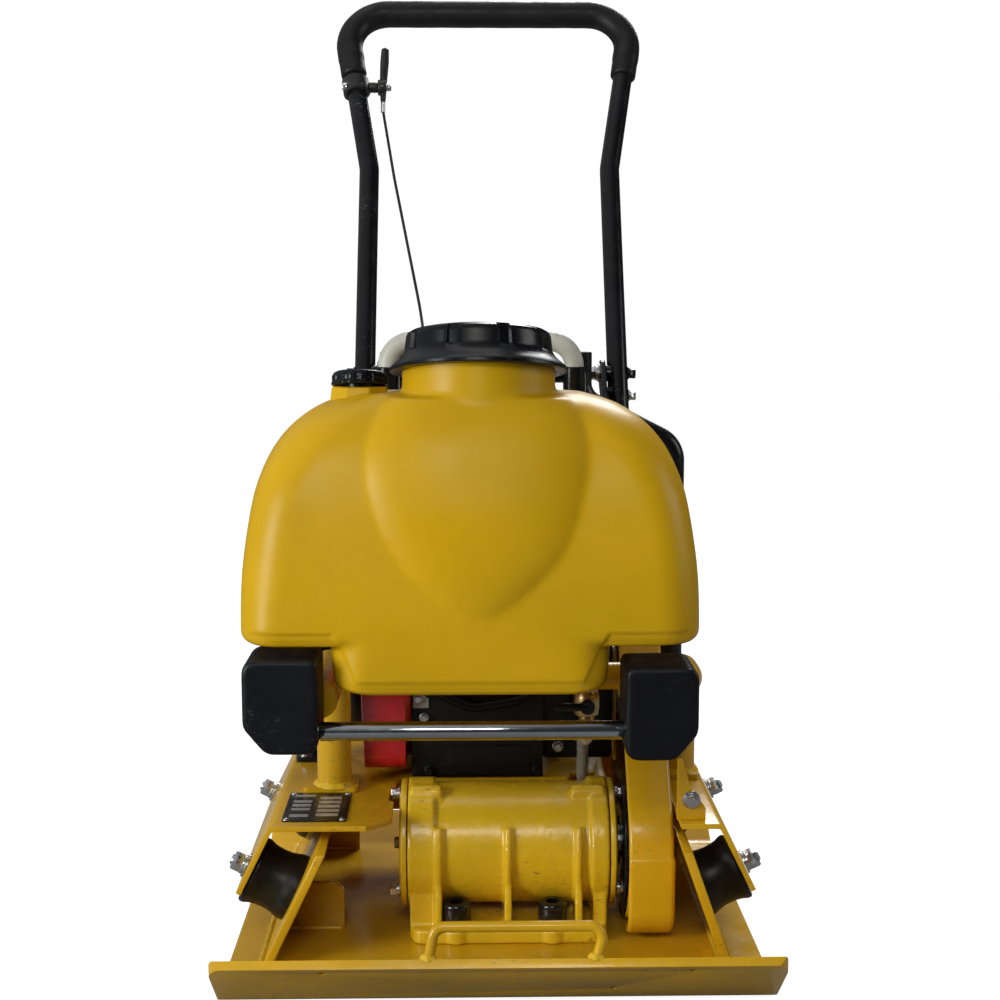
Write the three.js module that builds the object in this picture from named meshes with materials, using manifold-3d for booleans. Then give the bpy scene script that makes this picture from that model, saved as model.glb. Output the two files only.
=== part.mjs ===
// Forward plate compactor: vibrating base plate, isolated engine deck, water tank and folding handle.
// Millimetres, +Z up. Origin: centre of the base plate's flat underside. The front faces -Y.
import * as THREE from 'three';
import { mergeVertices } from 'three/addons/utils/BufferGeometryUtils.js';
import Module from 'manifold-3d';

const wasm = await Module();
wasm.setup();

// ---------------------------------------------------------------- driving dimensions
const GAP = 0.3; // clearance between touching solids

const PLATE = { width: 500, thick: 8, flat: 200, lipRun: 66, lipRise: 58, tailRun: 50, tailRise: 26, bend: 34 };
const WALL = { footX: 219, topZ: 117, thick: 8, front: -150, rear: 195, slopeLeft: 0.48, slopeRight: 0.35 };
const LEAN = { x: 0.4415, z: 0.897 }; // unit vector up a side flange, which stands 63.8 degrees from level
const GUSSET = { innerX: 148, topZ: 55, thick: 6, corner: 14, frontY: -43, rearY: 188 };
const LOOP = { r: 4.8, feet: [-66, 78], tops: [-58, 88], topZ: 84.5, footY: -257, footZ: 55.5, topY: -252, corner: 11 };

const DECK = { top: 137, thick: 5, flatHalf: 212.5, edgeHalf: 244, edgeZ: 73, front: -125, rear: 190 };
const ISOLATOR = { r: 32, waist: 26, length: 45.4, axisX: 236.9, axisZ: 87.5, frontY: -91, rearY: 144 };

const EXCITER = { y: -25, z: 88, left: -93, right: 118, barrelR: 57, endR: 63, bore: 44, endWidth: 26, cap: 7.7 };
const FOOT = { front: -93, rear: 43, top: 22, halfWidth: 93, centreX: 12 };
const FOOT_BOLT = { xs: [-38, 55], y: -79, headR: 14, headHigh: 24 };
const RIB_XS = [-64, 12, 80];

const CRANK = { y: 110, z: 245 };
const BELT = { x: 144.5, width: 13, thick: 8, exciterR: 32, drumR: 50 };
const GUARD = { left: 121, right: 168, skin: 2.5, lowR: 76, highR: 80 };

const TANK = { x: -24, wall: 4, lean: 0.176, footY: -150, ledgeZ: 326.4, bellyZ: 284 };
const NECK = { x: -16, y: -112, z: 532, r: 69, bore: 62, high: 35, tilt: -0.174 };
const VENT = { x: -124.5, y: -108, z: 520, r: 22, bore: 16, high: 25.5 };
const TAP = { x: 84, y: -112 };

const BUMPER = { width: 70, bottom: 236, top: 326, front: -235, rear: -168, leftX: -220, rightX: 103 };
const ROD = { y: -214, z: 251, r: 8.3 };
const ARM = { r: 17, z: 268, leftX: -160, rightX: 128, leftPostY: -4, rightPostX: 190, rightPostY: 40, barY: -78 };
const HOOP = { r: 12, y: 112, leftX: -182, rightX: 190, neckLeft: -105, neckRight: 92, shoulderZ: 470, neckZ: 520 };
const BAIL = { r: 10, y: 89, leftX: -108, rightX: 84, topZ: 580, bottomZ: 500 };

const PIVOT = { x: 136, y: 170, z: 543, plateX: 119.5 };
const HANDLE = { r: 11, endY: 147, endZ: 500, kinkY: 290, kinkZ: 768, topX: 170, topY: 396, topZ: 955, corner: 46 };
const GRIP = { r: 15.5, bore: 11.4, start: 0.58 };

const COLOURS = {
  yellow: 0xd9a514, tankYellow: 0xd8ac22, rubber: 0x18181b, zinc: 0xb9bcc0, chrome: 0xe4e6ea, gloss: 0x0d0d0f,
  red: 0xb01018, grey: 0xb8b8b4, black: 0x141416, plate: 0x3a3836, brass: 0xc9a35a, hose: 0xb9b2a6, alloy: 0x9da0a3,
};

// ---------------------------------------------------------------- geometry helpers
function solid(geometry) {
  const bare = geometry.clone();
  bare.deleteAttribute('normal');
  bare.deleteAttribute('uv');
  const merged = mergeVertices(bare, 1e-4);
  const vertProperties = Float32Array.from(merged.attributes.position.array);
  const triVerts = Uint32Array.from(merged.index.array);
  return new wasm.Manifold(new wasm.Mesh({ numProp: 3, vertProperties, triVerts }));
}

function geometryOf(manifold) {
  const mesh = manifold.getMesh();
  const geometry = new THREE.BufferGeometry();
  geometry.setAttribute('position', new THREE.BufferAttribute(Float32Array.from(mesh.vertProperties), 3));
  geometry.setIndex(Array.from(mesh.triVerts));
  geometry.computeVertexNormals();
  return geometry;
}

function join(...geometries) {
  return geometryOf(geometries.map(solid).reduce((a, b) => a.add(b)));
}

function cut(geometry, ...tools) {
  return geometryOf(tools.map(solid).reduce((a, b) => a.subtract(b), solid(geometry)));
}

function overlapOf(a, b) {
  return geometryOf(solid(a).intersect(solid(b)));
}

function box(x0, x1, y0, y1, z0, z1) {
  const geometry = new THREE.BoxGeometry(x1 - x0, y1 - y0, z1 - z0);
  return geometry.translate((x0 + x1) / 2, (y0 + y1) / 2, (z0 + z1) / 2);
}

// Outline with rounded corners; each corner is [u, v, radius].
function roundedOutline(corners, steps = 3) {
  const points = [];
  const count = corners.length;
  for (let i = 0; i < count; i += 1) {
    const [u, v, r = 0] = corners[i];
    const here = new THREE.Vector2(u, v);
    const before = new THREE.Vector2(...corners[(i + count - 1) % count].slice(0, 2));
    const after = new THREE.Vector2(...corners[(i + 1) % count].slice(0, 2));
    if (r === 0) points.push(here);
    else points.push(...filletPoints(before, here, after, r, steps));
  }
  return points;
}

// Points of the arc of radius r that rounds the corner at `here`; works in two or three dimensions.
function filletPoints(before, here, after, r, steps) {
  const back = before.clone().sub(here).normalize();
  const ahead = after.clone().sub(here).normalize();
  const half = Math.acos(THREE.MathUtils.clamp(back.dot(ahead), -1, 1)) / 2;
  const reach = r / Math.tan(half);
  const start = here.clone().addScaledVector(back, reach);
  const centre = here.clone().addScaledVector(back.clone().add(ahead).normalize(), r / Math.sin(half));
  const arm = start.clone().sub(centre);
  const side = back.clone().multiplyScalar(-r);
  const sweep = Math.PI - 2 * half;
  const points = [];
  for (let k = 0; k <= steps; k += 1) {
    const angle = (sweep * k) / steps;
    points.push(centre.clone().addScaledVector(arm, Math.cos(angle)).addScaledVector(side, Math.sin(angle)));
  }
  return points;
}

// Prism of a YZ outline along X.
function prismX(points, x0, x1, holes = []) {
  const shape = new THREE.Shape(points);
  shape.holes = holes.map((hole) => new THREE.Path(hole));
  const geometry = new THREE.ExtrudeGeometry(shape, { depth: x1 - x0, bevelEnabled: false });
  geometry.rotateY(Math.PI / 2);
  geometry.rotateX(Math.PI / 2);
  return geometry.translate(x0, 0, 0);
}

// Prism of an XZ outline along Y.
function prismY(points, y0, y1) {
  const geometry = new THREE.ExtrudeGeometry(new THREE.Shape(points), { depth: y1 - y0, bevelEnabled: false });
  geometry.rotateX(Math.PI / 2);
  return geometry.translate(0, y1, 0);
}

// Prism of an XY outline along Z.
function prismZ(points, z0, z1) {
  const geometry = new THREE.ExtrudeGeometry(new THREE.Shape(points), { depth: z1 - z0, bevelEnabled: false });
  return geometry.translate(0, 0, z0);
}

function vec(x, y, z) {
  return new THREE.Vector3(x, y, z);
}

// Turns a geometry made along +Y so that it runs from `from` towards `to`.
function aim(geometry, from, to) {
  const turn = new THREE.Quaternion().setFromUnitVectors(vec(0, 1, 0), to.clone().sub(from).normalize());
  geometry.applyQuaternion(turn);
  return geometry.translate(from.x, from.y, from.z);
}

function rod(from, to, r, sides = 14, endR = r) {
  const length = from.distanceTo(to);
  const geometry = new THREE.CylinderGeometry(endR, r, length, sides);
  geometry.translate(0, length / 2, 0);
  return aim(geometry, from, to);
}

// Turned piece; profile is a list of [along, radius] from `from` towards `to`, on the axis or closed.
function turned(profile, from, to, sides = 20) {
  const points = profile.map(([along, r]) => new THREE.Vector2(r, along));
  return aim(new THREE.LatheGeometry(points, sides), from, to);
}

function ring(outer, inner, from, to, sides = 20) {
  const high = from.distanceTo(to);
  return turned([[0, inner], [0, outer], [high, outer], [high, inner], [0, inner]], from, to, sides);
}

// Straight runs joined by arcs, met at the corners by a sweep's own steps.
class BentPath extends THREE.Curve {
  constructor(corners, steps = 4) {
    super();
    const at = corners.map(([x, y, z]) => vec(x, y, z));
    this.nodes = [at[0]];
    for (let i = 1; i < at.length - 1; i += 1) {
      this.nodes.push(...filletPoints(at[i - 1], at[i], at[i + 1], corners[i][3] ?? 20, steps));
    }
    this.nodes.push(at[at.length - 1]);
  }

  getPoint(t, target = vec(0, 0, 0)) {
    const place = t * (this.nodes.length - 1);
    const index = Math.min(Math.floor(place + 1e-6), this.nodes.length - 2);
    return target.copy(this.nodes[index]).lerp(this.nodes[index + 1], THREE.MathUtils.clamp(place - index, 0, 1));
  }

  getPointAt(u, target) {
    return this.getPoint(u, target);
  }

  getTangentAt(u, target = vec(0, 0, 0)) {
    const index = Math.round(u * (this.nodes.length - 1));
    const before = this.nodes[Math.max(index - 1, 0)];
    const after = this.nodes[Math.min(index + 1, this.nodes.length - 1)];
    return target.copy(after).sub(before).normalize();
  }
}

function circle(r, sides) {
  const points = [];
  for (let k = 0; k < sides; k += 1) {
    const angle = (2 * Math.PI * k) / sides;
    points.push(new THREE.Vector2(r * Math.cos(angle), r * Math.sin(angle)));
  }
  return points;
}

function bentTube(corners, r, sides = 10, bore = 0, arcSteps = 4) {
  const path = new BentPath(corners, arcSteps);
  const shape = new THREE.Shape(circle(r, sides));
  if (bore > 0) shape.holes = [new THREE.Path(circle(bore, sides))];
  return new THREE.ExtrudeGeometry(shape, { steps: path.nodes.length - 1, extrudePath: path, bevelEnabled: false });
}

// Closed outline of a bent strip: the given line, and the same line moved sideways by `thick`.
function stripOutline(line, thick) {
  const other = line.map((point, i) => {
    const before = line[Math.max(i - 1, 0)];
    const after = line[Math.min(i + 1, line.length - 1)];
    const along = after.clone().sub(before).normalize();
    return new THREE.Vector2(point.x - along.y * thick, point.y + along.x * thick);
  });
  return [...line, ...other.reverse()];
}

function openRounded(corners, steps = 4) {
  const at = corners.map(([u, v]) => new THREE.Vector2(u, v));
  const points = [at[0]];
  for (let i = 1; i < at.length - 1; i += 1) {
    points.push(...filletPoints(at[i - 1], at[i], at[i + 1], corners[i][2], steps));
  }
  points.push(at[at.length - 1]);
  return points;
}

// Outline round two circles, each { y, z, r }, the lower one first.
function beltOutline(low, high, sides = 12) {
  const apart = Math.hypot(high.y - low.y, high.z - low.z);
  const heading = Math.atan2(high.z - low.z, high.y - low.y);
  const open = Math.acos((low.r - high.r) / apart);
  const points = [];
  for (let k = 0; k <= sides; k += 1) {
    const angle = heading - open + (2 * open * k) / sides;
    points.push(new THREE.Vector2(high.y + high.r * Math.cos(angle), high.z + high.r * Math.sin(angle)));
  }
  for (let k = 0; k <= sides; k += 1) {
    const angle = heading + open + ((2 * Math.PI - 2 * open) * k) / sides;
    points.push(new THREE.Vector2(low.y + low.r * Math.cos(angle), low.z + low.r * Math.sin(angle)));
  }
  return points;
}

function hexNut(from, to, across, washerR) {
  const high = from.distanceTo(to);
  const washer = rod(from, from.clone().lerp(to, 2 / high), washerR, 14);
  const nut = rod(from.clone().lerp(to, 1 / high), from.clone().lerp(to, 12 / high), across / Math.sqrt(3), 6);
  return join(washer, nut, rod(from.clone().lerp(to, 1 / high), to, across * 0.32, 8));
}

const model = new THREE.Group();

function add(name, geometry, colour, roughness, metalness, parent = model) {
  const material = new THREE.MeshStandardMaterial({ color: COLOURS[colour], roughness, metalness });
  const mesh = new THREE.Mesh(geometry, material);
  mesh.name = name;
  parent.add(mesh);
  return mesh;
}

function tiltedGroup(x, y, z) {
  const group = new THREE.Group();
  group.position.set(x, y, z);
  group.rotation.x = NECK.tilt;
  model.add(group);
  return group;
}

// ---------------------------------------------------------------- base
function plateStrip(extra) {
  const underside = openRounded([
    [-PLATE.flat - PLATE.lipRun, PLATE.lipRise], [-PLATE.flat, 0, PLATE.bend],
    [PLATE.flat, 0, PLATE.bend], [PLATE.flat + PLATE.tailRun, PLATE.tailRise],
  ]);
  return prismX(stripOutline(underside, PLATE.thick + extra), -PLATE.width / 2, PLATE.width / 2);
}

function addBasePlate() {
  const half = PLATE.width / 2;
  const front = -PLATE.flat - PLATE.lipRun - 1;
  const rear = PLATE.flat + PLATE.tailRun + 1;
  const corners = [[-half, front, 16], [half, front, 16], [half, rear, 16], [-half, rear, 16]];
  const trimmed = overlapOf(plateStrip(0), prismZ(roundedOutline(corners), -5, 90));
  const across = vec(0, PLATE.lipRise, PLATE.lipRun).normalize().multiplyScalar(30);
  const drills = [[-152, 0.88], [167, 0.88], [101, 0.36]].map(([x, up]) => {
    const middle = vec(x, -PLATE.flat - PLATE.lipRun * up, PLATE.lipRise * up);
    return rod(middle.clone().sub(across), middle.clone().add(across), 3, 10);
  });
  add('base_plate', cut(trimmed, ...drills), 'yellow', 0.35, 0.1);
}

// Half width of a side wall's outer face at height z; the right wall is steeper, to clear the belt guard.
function wallX(side, z) {
  return WALL.footX - (z - PLATE.thick) * (side < 0 ? WALL.slopeLeft : WALL.slopeRight);
}

function addSideWall(name, side) {
  const foot = PLATE.thick + GAP;
  const across = WALL.thick * 1.09;
  const footX = wallX(side, foot);
  const topX = wallX(side, WALL.topZ);
  const outline = [[footX, foot], [topX, WALL.topZ], [topX - across, WALL.topZ], [footX - across, foot]];
  const flip = (corners) => corners.map(([x, z, r]) => [side * x, z, r]);
  const pieces = [prismY(roundedOutline(flip(outline)), WALL.front, WALL.rear)];
  const inner = [GUSSET.innerX, GUSSET.topZ, GUSSET.corner];
  const gusset = [[footX - 4, foot], [wallX(side, GUSSET.topZ) - 4, GUSSET.topZ], inner, [GUSSET.innerX, foot]];
  const rows = side < 0 ? [GUSSET.frontY, GUSSET.rearY] : [GUSSET.rearY];
  for (const y of rows) {
    pieces.push(prismY(roundedOutline(flip(gusset)), y - GUSSET.thick, y));
  }
  add(name, join(...pieces), 'yellow', 0.35, 0.1);
}

function addFrontLoop() {
  const [footL, footR] = LOOP.feet;
  const [topL, topR] = LOOP.tops;
  const corners = [
    [footL, LOOP.footY, LOOP.footZ], [topL, LOOP.topY, LOOP.topZ, LOOP.corner],
    [topR, LOOP.topY, LOOP.topZ, LOOP.corner], [footR, LOOP.footY, LOOP.footZ],
  ];
  add('front_lift_loop', cut(bentTube(corners, LOOP.r), plateStrip(GAP)), 'yellow', 0.3, 0.1);
}

function addExciterHousing() {
  const { y, z, barrelR, endR, endWidth, cap, bore } = EXCITER;
  const left = EXCITER.left + cap + GAP;
  const right = EXCITER.right - cap - GAP;
  const floor = PLATE.thick + GAP;
  const pieces = [rod(vec(left, y, z), vec(right, y, z), barrelR, 28)];
  for (const x of [left, right - endWidth]) {
    pieces.push(rod(vec(x, y, z), vec(x + endWidth, y, z), endR, 28));
    pieces.push(box(x + 3, x + endWidth - 3, y - 50, y + 50, floor, z - 20));
  }
  const x0 = FOOT.centreX - FOOT.halfWidth;
  const x1 = FOOT.centreX + FOOT.halfWidth;
  const plan = [[x0, FOOT.front, 12], [x1, FOOT.front, 12], [x1, FOOT.rear, 12], [x0, FOOT.rear, 12]];
  pieces.push(prismZ(roundedOutline(plan), floor, FOOT.top));
  for (const x of RIB_XS) {
    const rib = [
      [FOOT.front + 4, floor], [y + 50, floor], [y + 50, z - 10], [y - barrelR, z - 4], [y - barrelR - 7, 44],
    ];
    pieces.push(prismX(roundedOutline(rib), x - 3.5, x + 3.5));
  }
  pieces.push(rod(vec(left + 2, y - 22, z + 56), vec(left + 34, y - 22, z + 56), 8.5, 14));
  pieces.push(rod(vec(right - 36, y - 22, z + 56), vec(right - 2, y - 22, z + 56), 8.5, 14));
  const tools = [rod(vec(left - 5, y, z), vec(right + 5, y, z), bore, 24)];
  for (const x of FOOT_BOLT.xs) {
    tools.push(rod(vec(x, FOOT_BOLT.y, 0), vec(x, FOOT_BOLT.y, 60), 6.5, 12));
  }
  add('exciter_housing', cut(join(...pieces), ...tools), 'yellow', 0.4, 0.1);
}

function addFootBolts() {
  const { xs, y, headR, headHigh } = FOOT_BOLT;
  for (const [name, x] of [['foot_bolt_left', xs[0]], ['foot_bolt_right', xs[1]]]) {
    const head = rod(vec(x, y, FOOT.top + GAP), vec(x, y, FOOT.top + headHigh), headR, 24);
    const shank = rod(vec(x, y, PLATE.thick + GAP), vec(x, y, FOOT.top + 2), 6, 12);
    add(name, join(head, shank), 'black', 0.4, 0.5);
  }
}

function addExciterEnds() {
  const { y, z, left, right, cap, endR, bore } = EXCITER;
  const wide = cap + 10;
  const closed = [[0, 0], [0, endR - 1], [cap, endR - 1], [cap, bore - GAP], [wide, bore - GAP], [wide, 0]];
  add('exciter_cap_left', turned(closed, vec(left, y, z), vec(right, y, z), 24), 'yellow', 0.4, 0.1);
  const open = [[0, 19], [0, endR - 1], [cap, endR - 1], [cap, bore - GAP], [wide, bore - GAP], [wide, 19], [0, 19]];
  add('exciter_cap_right', turned(open, vec(right, y, z), vec(left, y, z), 24), 'yellow', 0.4, 0.1);
  for (const [name, x] of [['exciter_bearing_left', left + 20], ['exciter_bearing_right', right - 42]]) {
    add(name, ring(bore - 1, 20 + GAP, vec(x, y, z), vec(x + 22, y, z), 24), 'zinc', 0.25, 0.9);
  }
}

function addEccentric() {
  const { y, z, left, right } = EXCITER;
  const core = [
    [0, 0], [0, 20], [24, 20], [24, 26], [144, 26], [144, 20], [168, 20], [168, 16], [204, 16], [204, 11],
    [240, 11], [240, 0],
  ];
  const shaft = turned(core, vec(left + 18, y, z), vec(right, y, z), 20);
  const weight = [[-25, 0], [25, 0], [25, -18], [14, -37], [-14, -37], [-25, -18]];
  const outline = weight.map(([v, w]) => new THREE.Vector2(y + v, z + w));
  add('eccentric_shaft', join(shaft, prismX(outline, left + 46, right - 46)), 'alloy', 0.5, 0.8);
}

// Grooved wheel for the belt, centred on the belt's plane.
function grooved(centre, flangeR, grooveR, bore) {
  const half = 12;
  const profile = [
    [-half, bore], [-half, flangeR], [-8.5, flangeR], [-7, grooveR], [7, grooveR], [8.5, flangeR], [half, flangeR],
    [half, bore], [-half, bore],
  ];
  return turned(profile, centre, centre.clone().add(vec(10, 0, 0)), 24);
}

function addBeltDrive() {
  const low = { y: EXCITER.y, z: EXCITER.z };
  const inner = beltOutline({ ...low, r: BELT.exciterR }, { ...CRANK, r: BELT.drumR });
  const outer = beltOutline({ ...low, r: BELT.exciterR + BELT.thick }, { ...CRANK, r: BELT.drumR + BELT.thick });
  const x0 = BELT.x - BELT.width / 2;
  add('drive_belt', prismX(outer, x0, x0 + BELT.width, [inner]), 'rubber', 0.8, 0);
  const pulleyAt = vec(BELT.x, EXCITER.y, EXCITER.z);
  add('exciter_pulley', grooved(pulleyAt, BELT.exciterR + 11, BELT.exciterR - 0.6, 11 + GAP), 'alloy', 0.45, 0.9);
  const drumAt = vec(BELT.x, CRANK.y, CRANK.z);
  add('clutch_drum', grooved(drumAt, BELT.drumR + 11, BELT.drumR - 0.8, 11.3), 'alloy', 0.45, 0.9);
}

// ---------------------------------------------------------------- deck and its isolators
function addDeck() {
  const line = openRounded([
    [DECK.edgeHalf, DECK.edgeZ], [DECK.flatHalf, DECK.top, 9], [-DECK.flatHalf, DECK.top, 9],
    [-DECK.edgeHalf, DECK.edgeZ],
  ]);
  const pieces = [prismY(stripOutline(line, DECK.thick), DECK.front, DECK.rear)];
  for (const side of [-1, 1]) {
    for (const y of [ISOLATOR.frontY + 42, ISOLATOR.rearY - 47]) {
      const web = [[side * 208, 134], [side * 186, 134], [side * 188, 120], [side * 219, 108]];
      pieces.push(prismY(roundedOutline(web), y, y + 5));
    }
  }
  const bay = [
    [-122, -140], [-122, DECK.front], [-99, -106], [-99, 28], [78, 28], [78, 44], [104, 44], [104, 28],
    [115.5, 28], [115.5, 134], [173, 134], [173, DECK.front], [173, -140],
  ];
  add('engine_deck', cut(join(...pieces), prismZ(roundedOutline(bay), 100, 160)), 'yellow', 0.25, 0.1);
  const label = [[-202, -112, 3], [-141, -112, 3], [-141, -24, 3], [-202, -24, 3]];
  add('name_plate', prismZ(roundedOutline(label, 2), DECK.top + GAP, DECK.top + 1.3), 'plate', 0.4, 0.6);
}

// Rubber mount from a side flange to the side wall below it, with its nut outside the flange.
function addIsolator(place, side, y) {
  const outward = vec(side * LEAN.z, 0, LEAN.x);
  const face = vec(side * ISOLATOR.axisX, y, ISOLATOR.axisZ);
  const start = face.clone().addScaledVector(outward, -DECK.thick - GAP);
  const end = start.clone().addScaledVector(outward, -1);
  const { r, waist, length } = ISOLATOR;
  const neck = length - 15;
  const profile = [
    [0, 0], [0, r], [6, r], [13, waist], [neck, waist], [length - 6, r], [length + 12, r], [length + 12, 0],
  ];
  const beyond = [[0, 0], [0, 160], [wallX(side, 160) + GAP, 160], [wallX(side, 0) + GAP, 0]];
  const inboard = prismY(roundedOutline(beyond.map(([x, z]) => [side * x, z])), y - 50, y + 50);
  add(`isolator_${place}`, cut(turned(profile, start, end, 18), inboard), 'rubber', 0.7, 0);
  const seat = face.clone().addScaledVector(outward, GAP);
  add(`isolator_nut_${place}`, hexNut(seat, seat.clone().addScaledVector(outward, 17), 19, 13), 'zinc', 0.3, 0.9);
}

// ---------------------------------------------------------------- belt guard
function addBeltGuard() {
  const { left, right, skin, lowR, highR } = GUARD;
  const low = { y: EXCITER.y, z: EXCITER.z };
  const outer = beltOutline({ ...low, r: lowR }, { ...CRANK, r: highR }, 14);
  const inner = beltOutline({ ...low, r: lowR - skin }, { ...CRANK, r: highR - skin }, 14);
  const cup = cut(prismX(outer, left, right), prismX(inner, left - 5, right - skin));
  add('belt_guard', cup, 'yellow', 0.35, 0.1);
  const panel = beltOutline({ ...low, r: lowR - skin - 1 }, { ...CRANK, r: highR - skin - 1 }, 14);
  const upper = box(left - 5, right, 45, 240, 150, 340);
  const sheet = overlapOf(prismX(panel, left + 1, left + 3), upper);
  const hole = rod(vec(left - 5, CRANK.y, CRANK.z), vec(left + 9, CRANK.y, CRANK.z), 24, 24);
  add('guard_back_plate', cut(sheet, hole), 'yellow', 0.4, 0.1);
  const tab = [[170, 137 + GAP], [197, 137 + GAP], [197, 149, 9], [182, 170, 8], [175, 196, 3], [170, 196]];
  const plate = prismY(roundedOutline(tab), -114, -109);
  const bolt = rod(vec(183, -120, 157), vec(183, -111, 157), 8.5, 6);
  add('guard_bracket', join(plate, bolt), 'yellow', 0.35, 0.1);
}

// ---------------------------------------------------------------- tank frame, bumpers, rod
function addTankFrame() {
  const { r, z, leftX, rightX, leftPostY, rightPostX, rightPostY, barY } = ARM;
  const start = BUMPER.rear + GAP;
  const floor = DECK.top + GAP;
  const left = [[leftX, start, z], [leftX, leftPostY, z, 34], [leftX, leftPostY, floor]];
  const right = [
    [rightX, start, z], [rightX, -118, z, 40], [rightPostX, -16, z, 40], [rightPostX, rightPostY, z, 24],
    [rightPostX, rightPostY, floor],
  ];
  const pieces = [
    bentTube(left, r),
    bentTube(right, r),
    rod(vec(leftX, barY, z), vec(rightX + 16, barY, z), r - 4, 16),
    box(leftX - 30, leftX + 24, leftPostY - 18, leftPostY + 28, floor, floor + 5),
    box(rightPostX - 14, rightPostX + 20, rightPostY - 24, rightPostY + 24, floor, floor + 5),
  ];
  add('tank_frame', join(...pieces), 'yellow', 0.35, 0.1);
}

function addBumper(name, x0, outerSide) {
  const { width, bottom, top, front, rear } = BUMPER;
  const x1 = x0 + width;
  const chamfer = 24;
  const left = outerSide < 0 ? chamfer : 5;
  const right = outerSide > 0 ? chamfer : 5;
  const face = [
    [x0, bottom + left, 6], [x0 + left, bottom, 6], [x1 - right, bottom, 6], [x1, bottom + right, 6],
    [x1, top, 7], [x0, top, 7],
  ];
  const body = prismY(roundedOutline(face, 3), front, rear);
  const side = roundedOutline([[front, bottom, 9], [rear, bottom, 4], [rear, top, 4], [front, top, 9]], 3);
  add(name, overlapOf(body, prismX(side, x0 - 1, x1 + 1)), 'rubber', 0.6, 0);
}

// ---------------------------------------------------------------- water tank
// Rounded-rectangle section at one height; `inset` shrinks it all round.
function tankSection(z, half, depth, corner, inset) {
  const centreY = TANK.footY + (z - TANK.bellyZ) * TANK.lean;
  const a = half - inset;
  const d = depth - inset;
  const r = Math.max(corner - inset, 4);
  const points = [];
  for (const [su, sv, first] of [[1, 1, 0], [-1, 1, 1], [-1, -1, 2], [1, -1, 3]]) {
    for (let k = 0; k <= 4; k += 1) {
      const angle = (Math.PI / 2) * (first + k / 4);
      const x = su * (a - r) + r * Math.cos(angle);
      const y = sv * (d - r) + r * Math.sin(angle);
      points.push([TANK.x + x, centreY + y, z]);
    }
  }
  return points;
}

// Closed skin over a stack of sections that all have the same number of points.
function lofted(sections) {
  const count = sections[0].length;
  const positions = sections.flat(2);
  const index = [];
  for (let row = 0; row < sections.length - 1; row += 1) {
    for (let k = 0; k < count; k += 1) {
      const a = row * count + k;
      const b = row * count + ((k + 1) % count);
      index.push(a, b, b + count, a, b + count, a + count);
    }
  }
  const last = (sections.length - 1) * count;
  for (let k = 1; k < count - 1; k += 1) {
    index.push(0, k + 1, k);
    index.push(last, last + k, last + k + 1);
  }
  const geometry = new THREE.BufferGeometry();
  geometry.setAttribute('position', new THREE.Float32BufferAttribute(positions, 3));
  geometry.setIndex(index);
  return geometry;
}

function tankBody(inset) {
  const rows = [
    [TANK.ledgeZ, 190, 74, 28], [336, 198, 82, 36], [386, 197, 83, 40], [435, 191, 82, 42], [466, 184, 79, 44],
    [495, 171, 73, 48], [516, 153, 64, 48], [531, 129, 52, 44], [540, 100, 38, 34],
  ];
  const sections = rows.map(([z, half, depth, corner], i) => {
    const shift = i === 0 ? inset : 0;
    const drop = i === rows.length - 1 ? -inset : shift;
    return tankSection(z + drop, half, depth, corner, inset);
  });
  return lofted(sections);
}

function tankBelly(inset) {
  const rows = [[TANK.bellyZ + inset, 112, 70, 26], [TANK.bellyZ + 9 + inset, 120, 79, 30], [360, 124, 82, 34]];
  return lofted(rows.map(([z, half, depth, corner]) => tankSection(z, half, depth, corner, inset)));
}

// Fullness that runs down the front from under the neck.
function tankBulge(inset) {
  return rod(vec(-18, -201, 372), vec(-16, -118, 534), 30 - inset, 20, 69 - inset);
}

function onTilt(part, from, to) {
  const start = vec(part.x, part.y, part.z);
  const axis = vec(0, -Math.sin(NECK.tilt), Math.cos(NECK.tilt));
  return [start.clone().addScaledVector(axis, from), start.clone().addScaledVector(axis, to)];
}

function addTank() {
  const outer = [
    tankBody(0), tankBelly(0), tankBulge(0),
    rod(...onTilt(NECK, -20, NECK.high), NECK.r, 28),
    rod(...onTilt(VENT, -20, VENT.high), VENT.r + 5, 16, VENT.r),
  ];
  const inner = [
    tankBody(TANK.wall), tankBelly(TANK.wall), tankBulge(TANK.wall),
    rod(...onTilt(NECK, -24, NECK.high + 4), NECK.bore, 28),
    rod(...onTilt(VENT, -24, VENT.high + 4), VENT.bore, 16),
  ];
  const outlet = rod(vec(TAP.x, TAP.y, 270), vec(TAP.x, TAP.y, 300), 7, 12);
  add('water_tank', cut(join(...outer), join(...inner), outlet), 'tankYellow', 0.35, 0);
}

function addTankCaps() {
  const lid = tiltedGroup(NECK.x, NECK.y, NECK.z);
  const inside = NECK.high + 1;
  const profile = [
    [64, 0], [64, 60], [60, 65], [44, 66.5], [39, 80], [26, 81], [26, 70.3], [inside, 70.3], [inside, 58], [58, 58],
    [58, 0],
  ];
  const cap = new THREE.LatheGeometry(profile.map(([w, r]) => new THREE.Vector2(r, w)).reverse(), 30);
  add('tank_cap', cap.rotateX(Math.PI / 2), 'black', 0.4, 0, lid);
  const vent = tiltedGroup(VENT.x, VENT.y, VENT.z);
  const stopper = [[39, 0], [39, 22.5], [36, 26], [26, 26], [26, 15], [16, 15], [16, 0]];
  const small = new THREE.LatheGeometry(stopper.map(([w, r]) => new THREE.Vector2(r, w)).reverse(), 20);
  add('breather_cap', small.rotateX(Math.PI / 2), 'black', 0.4, 0, vent);
}

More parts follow.
